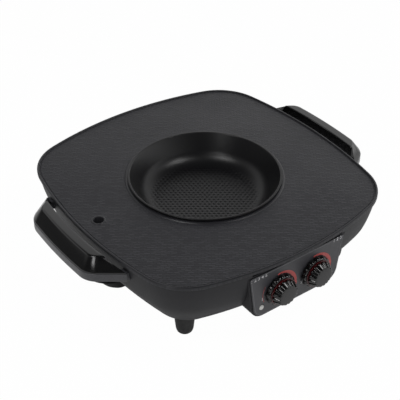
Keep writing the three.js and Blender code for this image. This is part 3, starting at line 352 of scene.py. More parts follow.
def grained(name, dark, light, roughness, grains, depth, surface, stretch=None):
    """A material that varies between two colours, and between two roughnesses where it has a pair.
    Grains are the mottles of its colour, gloss and relief, each a size in millimetres and how many
    finer levels it has. Surface is what its shader has all over, and a stretch draws the grains out."""
    made, tree = material(name)
    place = add(tree, "ShaderNodeTexCoord").outputs["Object"]
    if stretch:
        place = add(tree, "ShaderNodeMapping", {"Vector": place, "Scale": stretch}).outputs[0]
    mottles = {}
    for grain in dict.fromkeys(grains):
        noise = {"Vector": place, "Scale": 1 / (grain[0] * MM), "Detail": grain[1]}
        mottles[grain] = add(tree, "ShaderNodeTexNoise", noise).outputs["Fac"]
    tint, gloss, relief = [mottles[grain] for grain in grains]
    tint = add(tree, "ShaderNodeMix", {0: tint, 6: linear(dark), 7: linear(light)}, data_type="RGBA")
    if isinstance(roughness, tuple):
        gloss = {"Value": gloss, 1: MOTTLE[0], 2: MOTTLE[1], 3: roughness[0], 4: roughness[1]}
        roughness = add(tree, "ShaderNodeMapRange", gloss).outputs[0]
    sockets = {"Base Color": tint.outputs[2], "Roughness": roughness, **surface}
    if depth:
        relief = {"Height": relief, "Distance": depth * MM}
        sockets["Normal"] = add(tree, "ShaderNodeBump", relief).outputs[0]
    shader = add(tree, "ShaderNodeBsdfPrincipled", sockets)
    add(tree, "ShaderNodeOutputMaterial", {"Surface": shader.outputs[0]})
    return made


def moulded_plastic(name, dark, light, roughness, texture, depth, shine=0.5):
    """Plastic straight from a tool: one colour all through, with the tool's fine grain on its skin."""
    gloss = (roughness * 0.85, roughness * 1.15)
    surface = {"IOR": 1.53, "Specular IOR Level": shine}
    return grained(name, dark, light, gloss, [(30, 2), (texture, 3), (texture, 3)], depth, surface)


def sheet_metal(name, dark, light, roughness, streak, depth):
    """Bare or plated steel: metallic, with the streaks and spangle of the rolled sheet."""
    gloss = (roughness * 0.8, roughness * 1.25)
    return grained(name, dark, light, gloss, [(streak, 3)] * 3, depth, {"Metallic": 1.0}, ROLLED)


def screen_ink(name, dark, light):
    """Screen-printed ink: opaque and even, with the faint mottle of the mesh it went through."""
    return grained(name, dark, light, 0.5, [(0.6, 2)] * 3, 0, {"IOR": 1.5})


# The dashes cast into the plate, the lowest as a share of the highest, and their drift off their rows
DASH_LENGTH = 8
DASH_PITCH = 3.2
DASH_JOINT = 1
DASH_TURN = math.radians(36)
DASH_HEIGHT = 0.25
DASH_LEAST = 0.25
DASH_DRIFT = 5
DASH_DRIFT_PITCH = 11
# The coating's speckle is 0.1 mm and is drawn 1.2 mm wide, to show at all. How much it adds to the
# dashes' relief and to their colour
SPECKLE = 1.2
SPECKLE_HEIGHT = 0.2
SPECKLE_TINT = 0.5
# The rim's gloss, which varies over clouds so wide, and how much duller the field is
RIM_GLOSS = (0.28, 0.34)
CLOUD = 60
FIELD_DULLER = 0.2
# How far the field lies below the rim
PLATE_LIP = 1.5


def non_stick_cast_aluminium():
    """PTFE on die-cast aluminium: dark grey, with a field of short staggered dashes that break up what
    it reflects. The rim, the collar and the drain's ring are smooth and take a soft shine."""
    made, tree = material("non-stick cast aluminium")
    place = add(tree, "ShaderNodeTexCoord").outputs["Object"]
    speckle = {"Vector": place, "Scale": 1 / (SPECKLE * MM), "Detail": 4.0}
    speckle = add(tree, "ShaderNodeTexNoise", speckle).outputs["Fac"]
    cloud = add(tree, "ShaderNodeTexNoise", {"Vector": place, "Scale": 1 / (CLOUD * MM)}).outputs["Fac"]
    # The dashes are bricks whose joints are the sunk part. They drift off their rows by a millimetre or
    # two, as cut into the die by hand
    drift = add(tree, "ShaderNodeTexNoise", {"Vector": place, "Scale": 1 / (DASH_DRIFT_PITCH * MM)})
    drift = {0: drift.outputs["Color"], 1: (DASH_DRIFT * MM,) * 3, 2: place}
    drift = add(tree, "ShaderNodeVectorMath", drift, operation="MULTIPLY_ADD").outputs[0]
    aslant = add(tree, "ShaderNodeMapping", {"Vector": drift, "Rotation": (0, 0, DASH_TURN)})
    bricks = {
        "Vector": aslant.outputs[0],
        "Scale": 1.0,
        "Mortar Size": DASH_JOINT * MM,
        "Mortar Smooth": 1.0,
        "Brick Width": DASH_LENGTH * MM,
        "Row Height": DASH_PITCH * MM,
        "Color1": (1, 1, 1, 1),
        "Color2": (DASH_LEAST, DASH_LEAST, DASH_LEAST, 1),
        "Mortar": (0, 0, 0, 1),
    }
    bricks = add(tree, "ShaderNodeTexBrick", bricks).outputs["Color"]
    height = add(tree, "ShaderNodeSeparateXYZ", {"Vector": place}).outputs["Z"]
    sunk = {"Value": height, 1: (RIM - PLATE_LIP) * MM, 2: (RIM - PLATE_LIP + GAP) * MM, 3: 1, 4: 0}
    sunk = add(tree, "ShaderNodeMapRange", sunk).outputs[0]
    dashes = add(tree, "ShaderNodeMath", {0: bricks, 1: sunk}, operation="MULTIPLY").outputs[0]
    relief = {0: speckle, 1: SPECKLE_HEIGHT, 2: dashes}
    relief = add(tree, "ShaderNodeMath", relief, operation="MULTIPLY_ADD")
    # Painted shade: the sunk joints between the dashes are coloured darker than the dashes' tops, with the
    # speckle's random tone added
    speckle_and_joint_shade = {0: speckle, 1: SPECKLE_TINT, 2: dashes}
    speckle_and_joint_shade = add(tree, "ShaderNodeMath", speckle_and_joint_shade, operation="MULTIPLY_ADD")
    tint = {0: speckle_and_joint_shade.outputs[0], 6: linear(0x212124), 7: linear(0x333337)}
    tint = add(tree, "ShaderNodeMix", tint, data_type="RGBA")
    gloss = {"Value": cloud, 1: MOTTLE[0], 2: MOTTLE[1], 3: RIM_GLOSS[0], 4: RIM_GLOSS[1]}
    gloss = add(tree, "ShaderNodeMapRange", gloss).outputs[0]
    # The rim and the collar are rubbed smoother than the field between them
    gloss = {0: sunk, 1: FIELD_DULLER, 2: gloss}
    gloss = add(tree, "ShaderNodeMath", gloss, operation="MULTIPLY_ADD")
    skin = add(tree, "ShaderNodeBump", {"Height": relief.outputs[0], "Distance": DASH_HEIGHT * MM})
    surface = {"Base Color": tint.outputs[2], "Roughness": gloss.outputs[0], "Normal": skin.outputs[0]}
    shader = add(tree, "ShaderNodeBsdfPrincipled", {**surface, "IOR": 1.38})
    add(tree, "ShaderNodeOutputMaterial", {"Surface": shader.outputs[0]})
    return made


# The plate's square-round plan

def corner_centre():
    """Where circles drawn inside two neighbouring bows meet: the round corner's centre."""
    side_centre = HALF_WIDTH - SIDE_BOW
    front_centre = HALF_DEPTH - FRONT_BOW
    side_arm = SIDE_BOW - CORNER_RADIUS
    front_arm = FRONT_BOW - CORNER_RADIUS
    span_between = math.hypot(side_centre, front_centre)
    along = (side_arm**2 - front_arm**2 + span_between**2) / (2 * span_between)
    across = math.sqrt(side_arm**2 - along**2)
    ux, uy = -side_centre / span_between, front_centre / span_between
    return side_centre + ux * along - uy * across, uy * along + ux * across


CORNER_X, CORNER_Y = corner_centre()


def outline(inset):
    """The plan, drawn in by an inset, from the middle of the right side anticlockwise."""
    side_centre = HALF_WIDTH - SIDE_BOW
    front_centre = HALF_DEPTH - FRONT_BOW
    start = math.atan2(CORNER_Y, CORNER_X - side_centre)
    end = math.atan2(CORNER_Y - front_centre, CORNER_X)

    def arc(cx, cy, radius, first, last, steps):
        turns = evenly(first, last, steps)[:-1]
        return [(cx + radius * math.cos(t), cy + radius * math.sin(t)) for t in turns]

    quarter = [
        *arc(side_centre, 0, SIDE_BOW - inset, 0, start, SIDE_STEPS),
        *arc(CORNER_X, CORNER_Y, CORNER_RADIUS - inset, start, end, CORNER_STEPS),
        *arc(0, front_centre, FRONT_BOW - inset, end, math.pi / 2, SIDE_STEPS),
    ]
    back = (0, front_centre + FRONT_BOW - inset)
    half = [*quarter, back, *[(-x, y) for x, y in reversed(quarter[1:])]]
    return [*half, *[(-x, -y) for x, y in half]]


def square_ring(inset, z):
    return ring_of(outline(inset), z)


def round_ring(radius, z):
    """A circle with a point in the direction of each of the plan's."""
    return [Vector((x, y, 0)).normalized() * radius + Vector((0, 0, z)) for x, y in outline(0)]


def side_x(inset, y):
    """The x of the right side, drawn in by an inset, at a y."""
    return HALF_WIDTH - SIDE_BOW + math.sqrt((SIDE_BOW - inset) ** 2 - y**2)


# Grill plate

PLATE_THICKNESS = 5.2
PLATE_EDGE = 1.2
PLATE_LIP_WIDTH = 2.6
PLATE_SLOPE = 1
GROOVE_WIDTH = 1.5
GROOVE_DEPTH = 0.8
COLLAR_INNER = 100
COLLAR_OUTER = 104
COLLAR_DROP = 8
RIB_INSET = 5.8
RIB_WIDTH = 2.5
RIB_DROP = 3.6
DRAIN_RADIUS = 6.75
DRAIN_RING = 2.6
DRAIN_RING_HEIGHT = 0.8
NOZZLE_DROP = 11


def grill_plate():
    """One closed skin, from the edge over the lip, the groove and the field to the collar round the pot,
    and back underneath past the locating rib. The drain's nozzle and bore come after."""
    under = RIM - PLATE_THICKNESS
    surface = RIM - PLATE_LIP
    groove = PLATE_LIP_WIDTH + PLATE_SLOPE / 2
    body = rounded_loft(
        "grill_plate_body",
        [
            (square_ring(0, under), PLATE_EDGE),
            (square_ring(0, RIM), PLATE_EDGE),
            (square_ring(PLATE_LIP_WIDTH, RIM), 0.5),
            (square_ring(groove, surface - GROOVE_DEPTH), 0.4),
            (square_ring(groove + GROOVE_WIDTH, surface - GROOVE_DEPTH), 0.4),
            (square_ring(PLATE_LIP_WIDTH + PLATE_SLOPE + GROOVE_WIDTH, surface), 0.3),
            (round_ring(COLLAR_OUTER + PLATE_SLOPE, surface), 0.8),
            (round_ring(COLLAR_OUTER, RIM), 0.9),
            (round_ring(COLLAR_INNER, RIM), 0.7),
            (round_ring(COLLAR_INNER, RIM - COLLAR_DROP), 0.4),
            (round_ring(COLLAR_OUTER, RIM - COLLAR_DROP), 0.4),
            (round_ring(COLLAR_OUTER, under), 0),
            (square_ring(RIB_INSET + RIB_WIDTH, under), 0),
            (square_ring(RIB_INSET + RIB_WIDTH, under - RIB_DROP), 0.4),
            (square_ring(RIB_INSET, under - RIB_DROP), 0.4),
            (square_ring(RIB_INSET, under), 0),
        ],
        closed=True,
    )
    outer = DRAIN_RADIUS + DRAIN_RING
    nozzle = turned(
        "nozzle",
        [
            (0, RIM - NOZZLE_DROP),
            (outer, RIM - NOZZLE_DROP),
            (outer, surface),
            (outer - DRAIN_RING_HEIGHT, surface + DRAIN_RING_HEIGHT, 0.5),
            (0, surface + DRAIN_RING_HEIGHT),
        ],
        closed=False,
    )
    top = surface + DRAIN_RING_HEIGHT
    mouth = DRAIN_RADIUS + 1
    bore = turned(
        "bore",
        [
            (0, SOLE),
            (DRAIN_RADIUS, SOLE),
            (DRAIN_RADIUS, top, 1.0),
            (mouth, top),
            (mouth, top + OVERRUN),
            (0, top + OVERRUN),
        ],
        closed=False,
    )
    cut(join(body, moved(nozzle, DRAIN_X)), moved(bore, DRAIN_X))
    settle(body, PLATE_COATING, "grill_coating", "plate", "grill_plate")


# Hot pot

POT_WALL = 1.8
POT_THROAT = 97.4
POT_DEPTH = 36.6
POT_FLOOR_RADIUS = 63
POT_BEND_RADIUS = 27
POT_BEND_TURN = math.radians(64.8)
POT_BEND_STEPS = 38
POT_RIM_WIDTH = 2.6
POT_RIM_EDGE = 0.6
POT_RIM_THICKNESS = 3.3
POT_RECESS = 0.7
POT_RECESS_RADIUS = 60
POT_STEPS = 360
DIMPLE_PITCH = 6
DIMPLE_DEPTH = 0.45
DIMPLE_STEP = 0.8
DIMPLE_REACH = 74
DIMPLE_TURN = math.radians(-36)
# Three crossing waves add up to between -1.5 and 3. From this sum on, over this range, it is a dimple
DIMPLE_START = -0.6
DIMPLE_RANGE = 3.2


def dimple(x, y):
    """How deep the pot's floor is pressed in at a place, from 0 on the ridges to 1 in a dimple."""
    wave = 4 * math.pi / (math.sqrt(3) * DIMPLE_PITCH)
    total = 0
    for turn in (0, math.pi / 3, 2 * math.pi / 3):
        angle = DIMPLE_TURN + math.pi / 6 + turn
        total += math.cos(wave * (x * math.cos(angle) + y * math.sin(angle)))
    return eased((total - DIMPLE_START) / DIMPLE_RANGE)


def hot_pot():
    """A turned bowl with a rolled rim, whose floor and lower bend are then pressed with dimples."""
    floor = POT_TOP - POT_DEPTH
    rim_under = POT_TOP - POT_RIM_THICKNESS

    def bend(level, radius):
        points = []
        for t in evenly(0, POT_BEND_TURN, POT_BEND_STEPS):
            points.append((POT_FLOOR_RADIUS + radius * math.sin(t), level + radius * (1 - math.cos(t))))
        return points

    def inside_at(reach):
        out = max(reach - POT_FLOOR_RADIUS, 0)
        return floor + POT_BEND_RADIUS - math.sqrt(POT_BEND_RADIUS**2 - out**2)

    rings = int(POT_FLOOR_RADIUS / DIMPLE_STEP)
    flat = [(reach, floor) for reach in evenly(0, POT_FLOOR_RADIUS, rings)[:-1]]
    profile = [
        *flat,
        *bend(floor, POT_BEND_RADIUS),
        (POT_RADIUS - POT_RIM_WIDTH - POT_RIM_EDGE, POT_TOP - POT_RIM_EDGE, 0.4),
        (POT_RADIUS - POT_RIM_WIDTH, POT_TOP, 0.6),
        (POT_RADIUS, POT_TOP, 0.9),
        (POT_RADIUS, rim_under, 0.9),
        (POT_THROAT + POT_WALL, rim_under, 0.4),
        *reversed(bend(POT_UNDERSIDE, POT_BEND_RADIUS + POT_WALL)),
        (POT_RECESS_RADIUS, POT_UNDERSIDE, 0.5),
        (POT_RECESS_RADIUS - POT_RECESS, POT_UNDERSIDE + POT_RECESS, 0.5),
        (0, POT_UNDERSIDE + POT_RECESS),
    ]
    pot = turned("hot_pot_body", profile, POT_STEPS, closed=False)
    for vertex in pot.data.vertices:
        place = vertex.co
        reach = math.hypot(place.x, place.y)
        if reach < DIMPLE_REACH and abs(place.z - inside_at(reach)) < GAP:
            edge = min((DIMPLE_REACH - reach) / DIMPLE_PITCH, 1)
            place.z -= DIMPLE_DEPTH * edge * dimple(place.x, place.y)
    settle(pot, POT_COATING, "pot_coating", "pot", "hot_pot")


# Base shell

SHELL_WALL = 2.4
SHELL_EDGE = 0.7
SHELL_TOP_INSET = 2
SHELL_TAPER = 33
# From the top edge down to the flat underside: how far in of the taper, and how high of the height
SHELL_OUTLINE_SHARES = [
    (0, 1),
    (0.079, 0.805),
    (0.148, 0.671),
    (0.23, 0.537),
    (0.336, 0.403),
    (0.497, 0.268),
    (0.685, 0.141),
    (0.812, 0.054),
    (0.897, 0.016),
    (1, 0),
]
SHELL_CURVE_STEPS = 3
SOLE_INSET = 37.5
FLANGE_INSET = 60.5
FLANGE_THICKNESS = 2
COVER_THICKNESS = 1.5
COVER_SINK = 0.5
VENT_LENGTH = 34
VENT_WIDTH = 5
VENT_PITCH = 14
VENT_ROW_X = 62
VENT_PLACES = (-1.5, -0.5, 0.5, 1.5)
VENT_END_STEPS = 8
INLET_CORNER = 4


def curve_through(points, steps):
    """A Catmull-Rom curve through points, with so many steps from each to the next."""
    held = [points[0], *points, points[-1]]
    curve = []
    for a, b, c, d in zip(held, held[1:], held[2:], held[3:]):
        for t in evenly(0, 1, steps)[:-1]:
            pull = c - a
            bend = a * 2 - b * 5 + c * 4 - d
            swing = b * 3 - a - c * 3 + d
            curve.append((b * 2 + pull * t + bend * t**2 + swing * t**3) / 2)
    return [*curve, points[-1]]


def shell_outside():
    """The base's profile from the top edge down, as (inset from the plate's edge, height)."""
    height = SHELL_TOP - SOLE
    corners = []
    for across, up in SHELL_OUTLINE_SHARES:
        corners.append(Vector((SHELL_TOP_INSET + SHELL_TAPER * across, SOLE + height * up)))
    return curve_through(corners, SHELL_CURVE_STEPS)


def shell_form(gap):
    """The whole space of the base, swollen by a gap, to cut from what stands against it."""
    rings = [square_ring(SHELL_TOP_INSET - gap, SHELL_TOP + OVERRUN)]
    rings += [square_ring(p.x - gap, p.y) for p in shell_outside()]
    return loft("shell_form", rings)


def base_shell():
    """A wall of even thickness along the profile, ending below in a flange that the cover screws to."""
    outside = shell_outside()
    flange_under = SOLE + COVER_SINK + COVER_THICKNESS + GAP
    flange_top = flange_under + FLANGE_THICKNESS
    inside = []
    for i, here in enumerate(outside[:-1]):
        along = outside[i + 1] - outside[max(i - 1, 0)]
        wall = Vector((-along.y, along.x)).normalized() * SHELL_WALL
        inside.append(here + wall)
    inside[0].y = SHELL_TOP
    inside = [p for p in inside if p.y >= flange_top]
    profile = [
        *outside,
        Vector((SOLE_INSET, SOLE)),
        Vector((SOLE_INSET, flange_under)),
        Vector((FLANGE_INSET, flange_under)),
        Vector((FLANGE_INSET, flange_top)),
        *reversed(inside),
    ]
    sizes = [SHELL_EDGE, *[0] * (len(profile) - 2), SHELL_EDGE]
    rings = [(square_ring(p.x, p.y), size) for p, size in zip(profile, sizes)]
    shell = rounded_loft("base_shell_body", rings, closed=True)
    chute_hole = hole(CHUTE_RADIUS + GAP, 0, SHELL_TOP - GAP, DRAIN_X)
    cut(shell, box_space(), chute_hole, inlet_space(), *handle_screw_bores(), *foot_screw_holes())
    settle(shell, SATIN_ABS, "body_plastic", "base", "base_shell")


def inlet_space():
    """What the base leaves free for the power inlet."""
    low, high = span("inlet_housing")
    x, bottom, top = high.x + GAP, low.z - GAP, high.z + GAP
    half = [Vector((x - INLET_CORNER, bottom)), Vector((x, bottom + INLET_CORNER))]
    half += [Vector((x, top - INLET_CORNER)), Vector((x - INLET_CORNER, top))]
    plan = mirrored(half)
    return loft("inlet_space", [upright(plan, low.y), upright(plan, high.y)])


def foot_screw_holes():
    places = [middle(f"foot_screw_{number}") for number in range(1, 5)]
    return [hole(SCREW_BORE, 0, SHELL_TOP / 2, place.x, place.y) for place in places]


def vent_plan(x, y):
    """A slot with round ends."""
    end = VENT_WIDTH / 2
    plan = []
    for side in (1, -1):
        for t in evenly(-math.pi / 2, math.pi / 2, VENT_END_STEPS):
            reach = VENT_LENGTH / 2 - end + end * math.cos(t)
            plan.append((x + side * reach, y + side * end * math.sin(t)))
    return plan


def bottom_cover():
    """The flat sheet that closes the base, with two rows of vents."""
    low = SOLE + COVER_SINK
    high = low + COVER_THICKNESS
    plan = outline(SOLE_INSET + GAP)
    cover = prism("bottom_cover_sheet", plan, low, high)
    vents = []
    for x in (-VENT_ROW_X, VENT_ROW_X):
        for place in VENT_PLACES:
            vents.append(prism("vent", vent_plan(x, place * VENT_PITCH), low - OVERRUN, high + OVERRUN))
    cut(cover, box_space(), *vents, *foot_screw_holes())
    soften(cover, 0.3)
    settle(cover, ZINC_PLATE, "zinc_steel", "base", "bottom_cover")


# Heater pan, pot well and heaters

SHEET = 1
SHEET_EDGE = 0.3
PAN_RIM_INSET = 11.5
PAN_FLOOR_INSET = 13
PAN_HOLE = 106
CHUTE_RADIUS = 8.5
CHUTE_WALL = 1.6
CHUTE_FLARE = 13
CHUTE_FLARE_HEIGHT = 7
LEG_HOLE = 5.7
POT_LEG_HOLE = 5.45
HEATER_STEPS = 144
WELL_FLANGE = 7
WELL_CENTRE_HOLE = 6
GRILL_TUBE = 3.5
GRILL_RING = 138
GRILL_OPENING = 9
GRILL_LEG_ANGLES = (math.radians(GRILL_OPENING - 90), math.radians(270 - GRILL_OPENING))
POT_TUBE = 3.25
COIL_INNER = 30
COIL_PITCH = 15
COIL_TURNS = 2
COIL_OUTER = COIL_INNER + COIL_PITCH * COIL_TURNS


def heater_pan():
    """The bright pan under the plate, with room for the control box, the chute and the heater's legs."""
    low, high = span("heat_reflector")
    pan = rounded_loft(
        "heater_pan_sheet",
        [
            (square_ring(PAN_RIM_INSET, high.z), SHEET_EDGE),
            (square_ring(PAN_FLOOR_INSET, low.z), 3),
            (round_ring(PAN_HOLE, low.z), SHEET_EDGE),
            (round_ring(PAN_HOLE, low.z + SHEET), SHEET_EDGE),
            (square_ring(PAN_FLOOR_INSET + SHEET, low.z + SHEET), 2),
            (square_ring(PAN_RIM_INSET + SHEET, high.z), SHEET_EDGE),
        ],
        closed=True,
    )
    # The notch clears the control box's slanting back
    front = GAP / 2 - box_back(low.z) + PAN_BOX_GAP / 2
    reach = PANEL_TOP_HALF + PAN_BOX_GAP
    notch = block("notch", (-reach, front - 2 * OVERRUN, low.z - OVERRUN), (reach, front, high.z + OVERRUN))
    bottom, top = low.z - OVERRUN, high.z + OVERRUN
    holes = [hole(CHUTE_RADIUS + GAP, bottom, top, DRAIN_X)]
    for angle in GRILL_LEG_ANGLES:
        leg = polar(GRILL_RING, angle)
        holes.append(hole(LEG_HOLE, bottom, top, leg.x, leg.y))
    cut(pan, notch, *holes)
    settle(pan, ALUMINISED, "bright_steel", "base", "heat_reflector")


def pot_well():
    """The pressed cup under the pot, which carries the coil."""
    low, high = span("pot_well")
    outer = high.x
    wall = outer - WELL_FLANGE
    cup = turned(
        "pot_well_cup",
        [
            (WELL_CENTRE_HOLE, low.z),
            (wall, low.z, 3),
            (wall, high.z - SHEET, 0.3),
            (outer, high.z - SHEET, 0.4),
            (outer, high.z, 0.4),
            (wall - SHEET, high.z, 1.4),
            (wall - SHEET, low.z + SHEET, 2),
            (WELL_CENTRE_HOLE, low.z + SHEET),
        ],
        ROUND,
    )
    cut(cup, *[hole(POT_LEG_HOLE, low.z - OVERRUN, low.z + OVERRUN, x) for x in (COIL_INNER, COIL_OUTER)])
    settle(cup, ALUMINISED, "bright_steel", "base", "pot_well")


def heater_tube(node, radius, inner, outer, start, end):
    """A sheathed heater: a coil between two angles and two radii, on two upright legs."""
    low, high = span(node)
    turns = zip(evenly(inner, outer, HEATER_STEPS), evenly(start, end, HEATER_STEPS))
    coil = [polar(reach, angle, high.z - radius) for reach, angle in turns]
    feet = [Vector((p.x, p.y, low.z)) for p in (coil[0], coil[-1])]
    bend = 3 * radius
    sizes = [0, bend, *[0] * (len(coil) - 2), bend, 0]
    path = rounded([feet[0], *coil, feet[1]], sizes, closed=False)
    settle(tube(f"{node}_tube", path, radius), HEATER_STEEL, "heater_sheath", "base", node)


# Handles, drawn at the right and turned round for the left side

FINGER_GAP = 10
HANDLE_WIDTH = 24.8
HANDLE_BOW = 700
HANDLE_HALF = 50.8
HANDLE_CORNER = 28
HANDLE_CORNER_TURN = math.radians(57.7)
HANDLE_CORNER_STEPS = 14
HANDLE_STEPS = 14
ARM_HALF = 94
ARM_WIDTH = 12
ARM_BELOW = 10
ARM_EDGE = 1.6
FINGER_GAP_HALF = 76
POCKET_ROOF = 3
POCKET_WALL = 3
POCKET_HALF = 56
POCKETS = 4
RIB_THICKNESS = 2.5
GRIP_LEDGE = 1.4
GRIP_INSET = 0.6
GRIP_SLOPE = 12.4
BAND_HALF = 68.4
GRIP_PLATE_GAP = 0.8
GRIP_LEDGE_ROUND = 1.1
GRIP_RIDGE_ROUND = 1.6
GRIP_RIDGE_WIDTH = 3
SCREW_BORE = 2.3


def handle_outer(y):
    """The x of the handle's bowed outer edge."""
    return HALF_WIDTH + FINGER_GAP + HANDLE_WIDTH - HANDLE_BOW + math.sqrt(HANDLE_BOW**2 - y**2)


def handle_inner(y):
    """The x of its inner edge, a finger's gap away from the plate."""
    return side_x(0, y) + FINGER_GAP


def edge_run(x_at, start, end):
    """Points along a function of y."""
    return [(x_at(y), y) for y in evenly(start, end, HANDLE_STEPS)]


def whole_plan(half):
    """A whole plan from its half at the back, which starts and ends at y = 0."""
    return [*half, *[(x, -y) for x, y in reversed(half[1:-1])]]


def round_corner(inset):
    """The round end between the outer edge and the oblique arm, drawn in by an inset."""
    centre = handle_outer(HANDLE_HALF) - HANDLE_CORNER
    radius = HANDLE_CORNER - inset
    turns = evenly(0, HANDLE_CORNER_TURN, HANDLE_CORNER_STEPS)[1:]
    return [(centre + radius * math.cos(t), HANDLE_HALF + radius * math.sin(t)) for t in turns]


def lower_plan(inset, root):
    """The plan at arm level: outer edge, round corner, oblique arm, its root and the finger gap."""
    outer = edge_run(lambda y: handle_outer(y) - inset, 0, HANDLE_HALF)
    inner = edge_run(lambda y: handle_inner(y) + inset, FINGER_GAP_HALF, 0)
    return whole_plan([*outer, *round_corner(inset), *root, *inner])


def upper_plan(inset):
    """The plan of the flat band on top: the one below drawn in by the slope's width, with as many
    points. Its oblique end runs straight to the finger gap."""
    deep = GRIP_SLOPE + inset
    corner = round_corner(deep)
    end = BAND_HALF - inset * (1 + math.cos(HANDLE_CORNER_TURN)) / math.sin(HANDLE_CORNER_TURN)
    outer = edge_run(lambda y: handle_outer(y) - deep, 0, HANDLE_HALF)
    inner = edge_run(lambda y: handle_inner(y) + inset, end, 0)
    first, last = Vector(corner[-1]), Vector(inner[0])
    between = [first.lerp(last, share) for share in (1 / 3, 2 / 3)]
    return whole_plan([*outer, *corner, *between, *inner])


def handle_frame(side, turn):
    """The lower moulding, whose arms end against the base, with pockets and ribs from below."""
    low, high = span("handle_frame_right")

    def plan(inset):
        deep = ARM_HALF - inset
        return lower_plan(
            inset,
            [
                (side_x(0, deep), deep),
                (side_x(ARM_BELOW, deep), deep),
                (side_x(ARM_BELOW, ARM_HALF - ARM_WIDTH), ARM_HALF - ARM_WIDTH + inset),
                (side_x(0, ARM_HALF - ARM_WIDTH), ARM_HALF - ARM_WIDTH + inset),
            ],
        )

    lower = rounded_loft(
        f"handle_lower_{side}",
        [
            (ring_of(plan(ARM_EDGE), low.z), 0),
            (ring_of(plan(0), low.z), ARM_EDGE),
            (ring_of(plan(0), high.z), 0.5),
            (ring_of(plan(ARM_EDGE), high.z), 0),
        ],
    )
    ribs = evenly(-POCKET_HALF, POCKET_HALF, POCKETS)
    pockets = []
    for rib, next_rib in zip(ribs, ribs[1:]):
        start = rib + RIB_THICKNESS / 2
        end = next_rib - RIB_THICKNESS / 2
        outer = edge_run(lambda y: handle_outer(y) - POCKET_WALL, start, end)
        inner = edge_run(lambda y: handle_inner(y) + POCKET_WALL, end, start)
        pockets.append(prism("pocket", [*outer, *inner], low.z - OVERRUN, high.z - POCKET_ROOF))
    cut(lower, shell_form(GAP), *pockets, *handle_screw_bores())
    lower.data.transform(Matrix.Rotation(turn, 4, "Z"))
    # The moulding's light grey is partly painted reflection of the floor
    settle(lower, GREY_ABS_PAINTED_LIGHTER, "grey_plastic", "base", f"handle_frame_{side}")


def handle_screw_bores():
    """The four screws' holes through the base's wall into the arms."""
    bores = []
    for number in range(1, 5):
        low, high = span(f"handle_screw_{number}")
        centre = (low + high) / 2
        bore = rod("bore", SCREW_BORE, low.x - 1, high.x + GAP)
        bore.data.transform(Matrix.Rotation(math.pi / 2, 4, "Y") @ Matrix.Translation((0, 0, -centre.x)))
        bores.append(moved(bore, centre.x, centre.y, centre.z))
    return bores


def handle_grip(side, turn):
    """The glossy cover, which rises from a low ledge round the moulding to the flat band."""
    low, high = span("handle_grip_right")
    arm = ARM_HALF - GRIP_INSET
    arm_inner = ARM_HALF - ARM_WIDTH
    root = [(side_x(0, arm) + GRIP_PLATE_GAP, arm), (side_x(0, arm_inner) + GRIP_PLATE_GAP, arm_inner)]
    plan = lower_plan(GRIP_INSET, root)
    grip = rounded_loft(
        f"handle_cover_{side}",
        [
            (ring_of(plan, low.z), 0),
            (ring_of(plan, low.z + GRIP_LEDGE), GRIP_LEDGE_ROUND),
            (ring_of(upper_plan(0), high.z), GRIP_RIDGE_ROUND),
            (ring_of(upper_plan(GRIP_RIDGE_WIDTH), high.z), 0),
        ],
    )
    grip.data.transform(Matrix.Rotation(turn, 4, "Z"))
    settle(grip, GLOSS_ABS, "gloss_black", "base", f"handle_grip_{side}")


# Control box, panel and lens

PANEL_SETBACK = 8
PANEL_TOP_DROP = 5.5
PANEL_BOTTOM_DROP = 1
PANEL_TOP_HALF = 76
PANEL_BOTTOM_HALF = 69
PANEL_CORNER = 19
PANEL_TOP_CORNER = 3
PANEL_THICKNESS = 1.2
PANEL_BORDER = 2.4
PANEL_CORNER_STEPS = 12
PANEL_EDGE = 0.5
BOX_EDGE = 1.3
BOX_WALL = 2.5
BOX_DEPTH_TOP = 9
BOX_DEPTH_BOTTOM = 30
NECK_SETBACK = 6
NECK_INSET = 3
BUSH_HOLE = 6.2
PAN_BOX_GAP = 6

PANEL_FACE = HALF_DEPTH - PANEL_SETBACK
BOX_FACE = PANEL_FACE - PANEL_THICKNESS - GAP
BOX_INSIDE = BOX_FACE - BOX_WALL
PANEL_TOP = SHELL_TOP - PANEL_TOP_DROP
PANEL_BOTTOM = SOLE - PANEL_BOTTOM_DROP


def panel_outline(grow):
    """The front outline in x and z: flat top, sides that draw in, and large round bottom corners."""
    corner = PANEL_CORNER + grow
    top = PANEL_TOP + grow
    half = []
    for t in evenly(0, math.pi / 2, PANEL_CORNER_STEPS):
        across = PANEL_BOTTOM_HALF - PANEL_CORNER + corner * math.sin(t)
        half.append(Vector((across, PANEL_BOTTOM + PANEL_CORNER - corner * math.cos(t))))
    sizes = [*[0] * len(half), PANEL_TOP_CORNER + grow / 2, 0]
    half += [Vector((PANEL_TOP_HALF + grow, top)), Vector((0, top))]
    return mirrored(rounded(half, sizes)[:-1])


def upright(plan, y):
    """An outline in x and z as a ring at a y, or at a y that depends on z."""
    return [Vector((p.x, y(p.y) if callable(y) else y, p.y)) for p in plan]


def box_back(z):
    """How far in front of y = 0 the box's open back lies at a height."""
    share = (z - PANEL_BOTTOM) / (PANEL_TOP - PANEL_BOTTOM)
    return BOX_FACE - BOX_DEPTH_BOTTOM - (BOX_DEPTH_TOP - BOX_DEPTH_BOTTOM) * share


def box_body(grow, front, back_shift, edge=0.0):
    """The wedge behind the panel, from its front to its slanting back, with an edge rounded in front."""
    plan = panel_outline(grow)
    rings = [(upright(plan, -front), edge), (upright(plan, lambda z: back_shift - box_back(z)), 0)]
    if edge:
        rings.insert(0, (upright(panel_outline(grow - 1.5 * edge), -front), 0))
    return rounded_loft("box_body", rings)


def box_neck(grow, front):
    """The box's upper part, which joins it to the base's top edge."""
    half = PANEL_TOP_HALF - PANEL_TOP_CORNER - NECK_INSET + grow
    back = box_back(PANEL_TOP) - grow
    return block("box_neck", (-half, -front, PANEL_TOP - BOX_WALL), (half, -back, SHELL_TOP + grow))


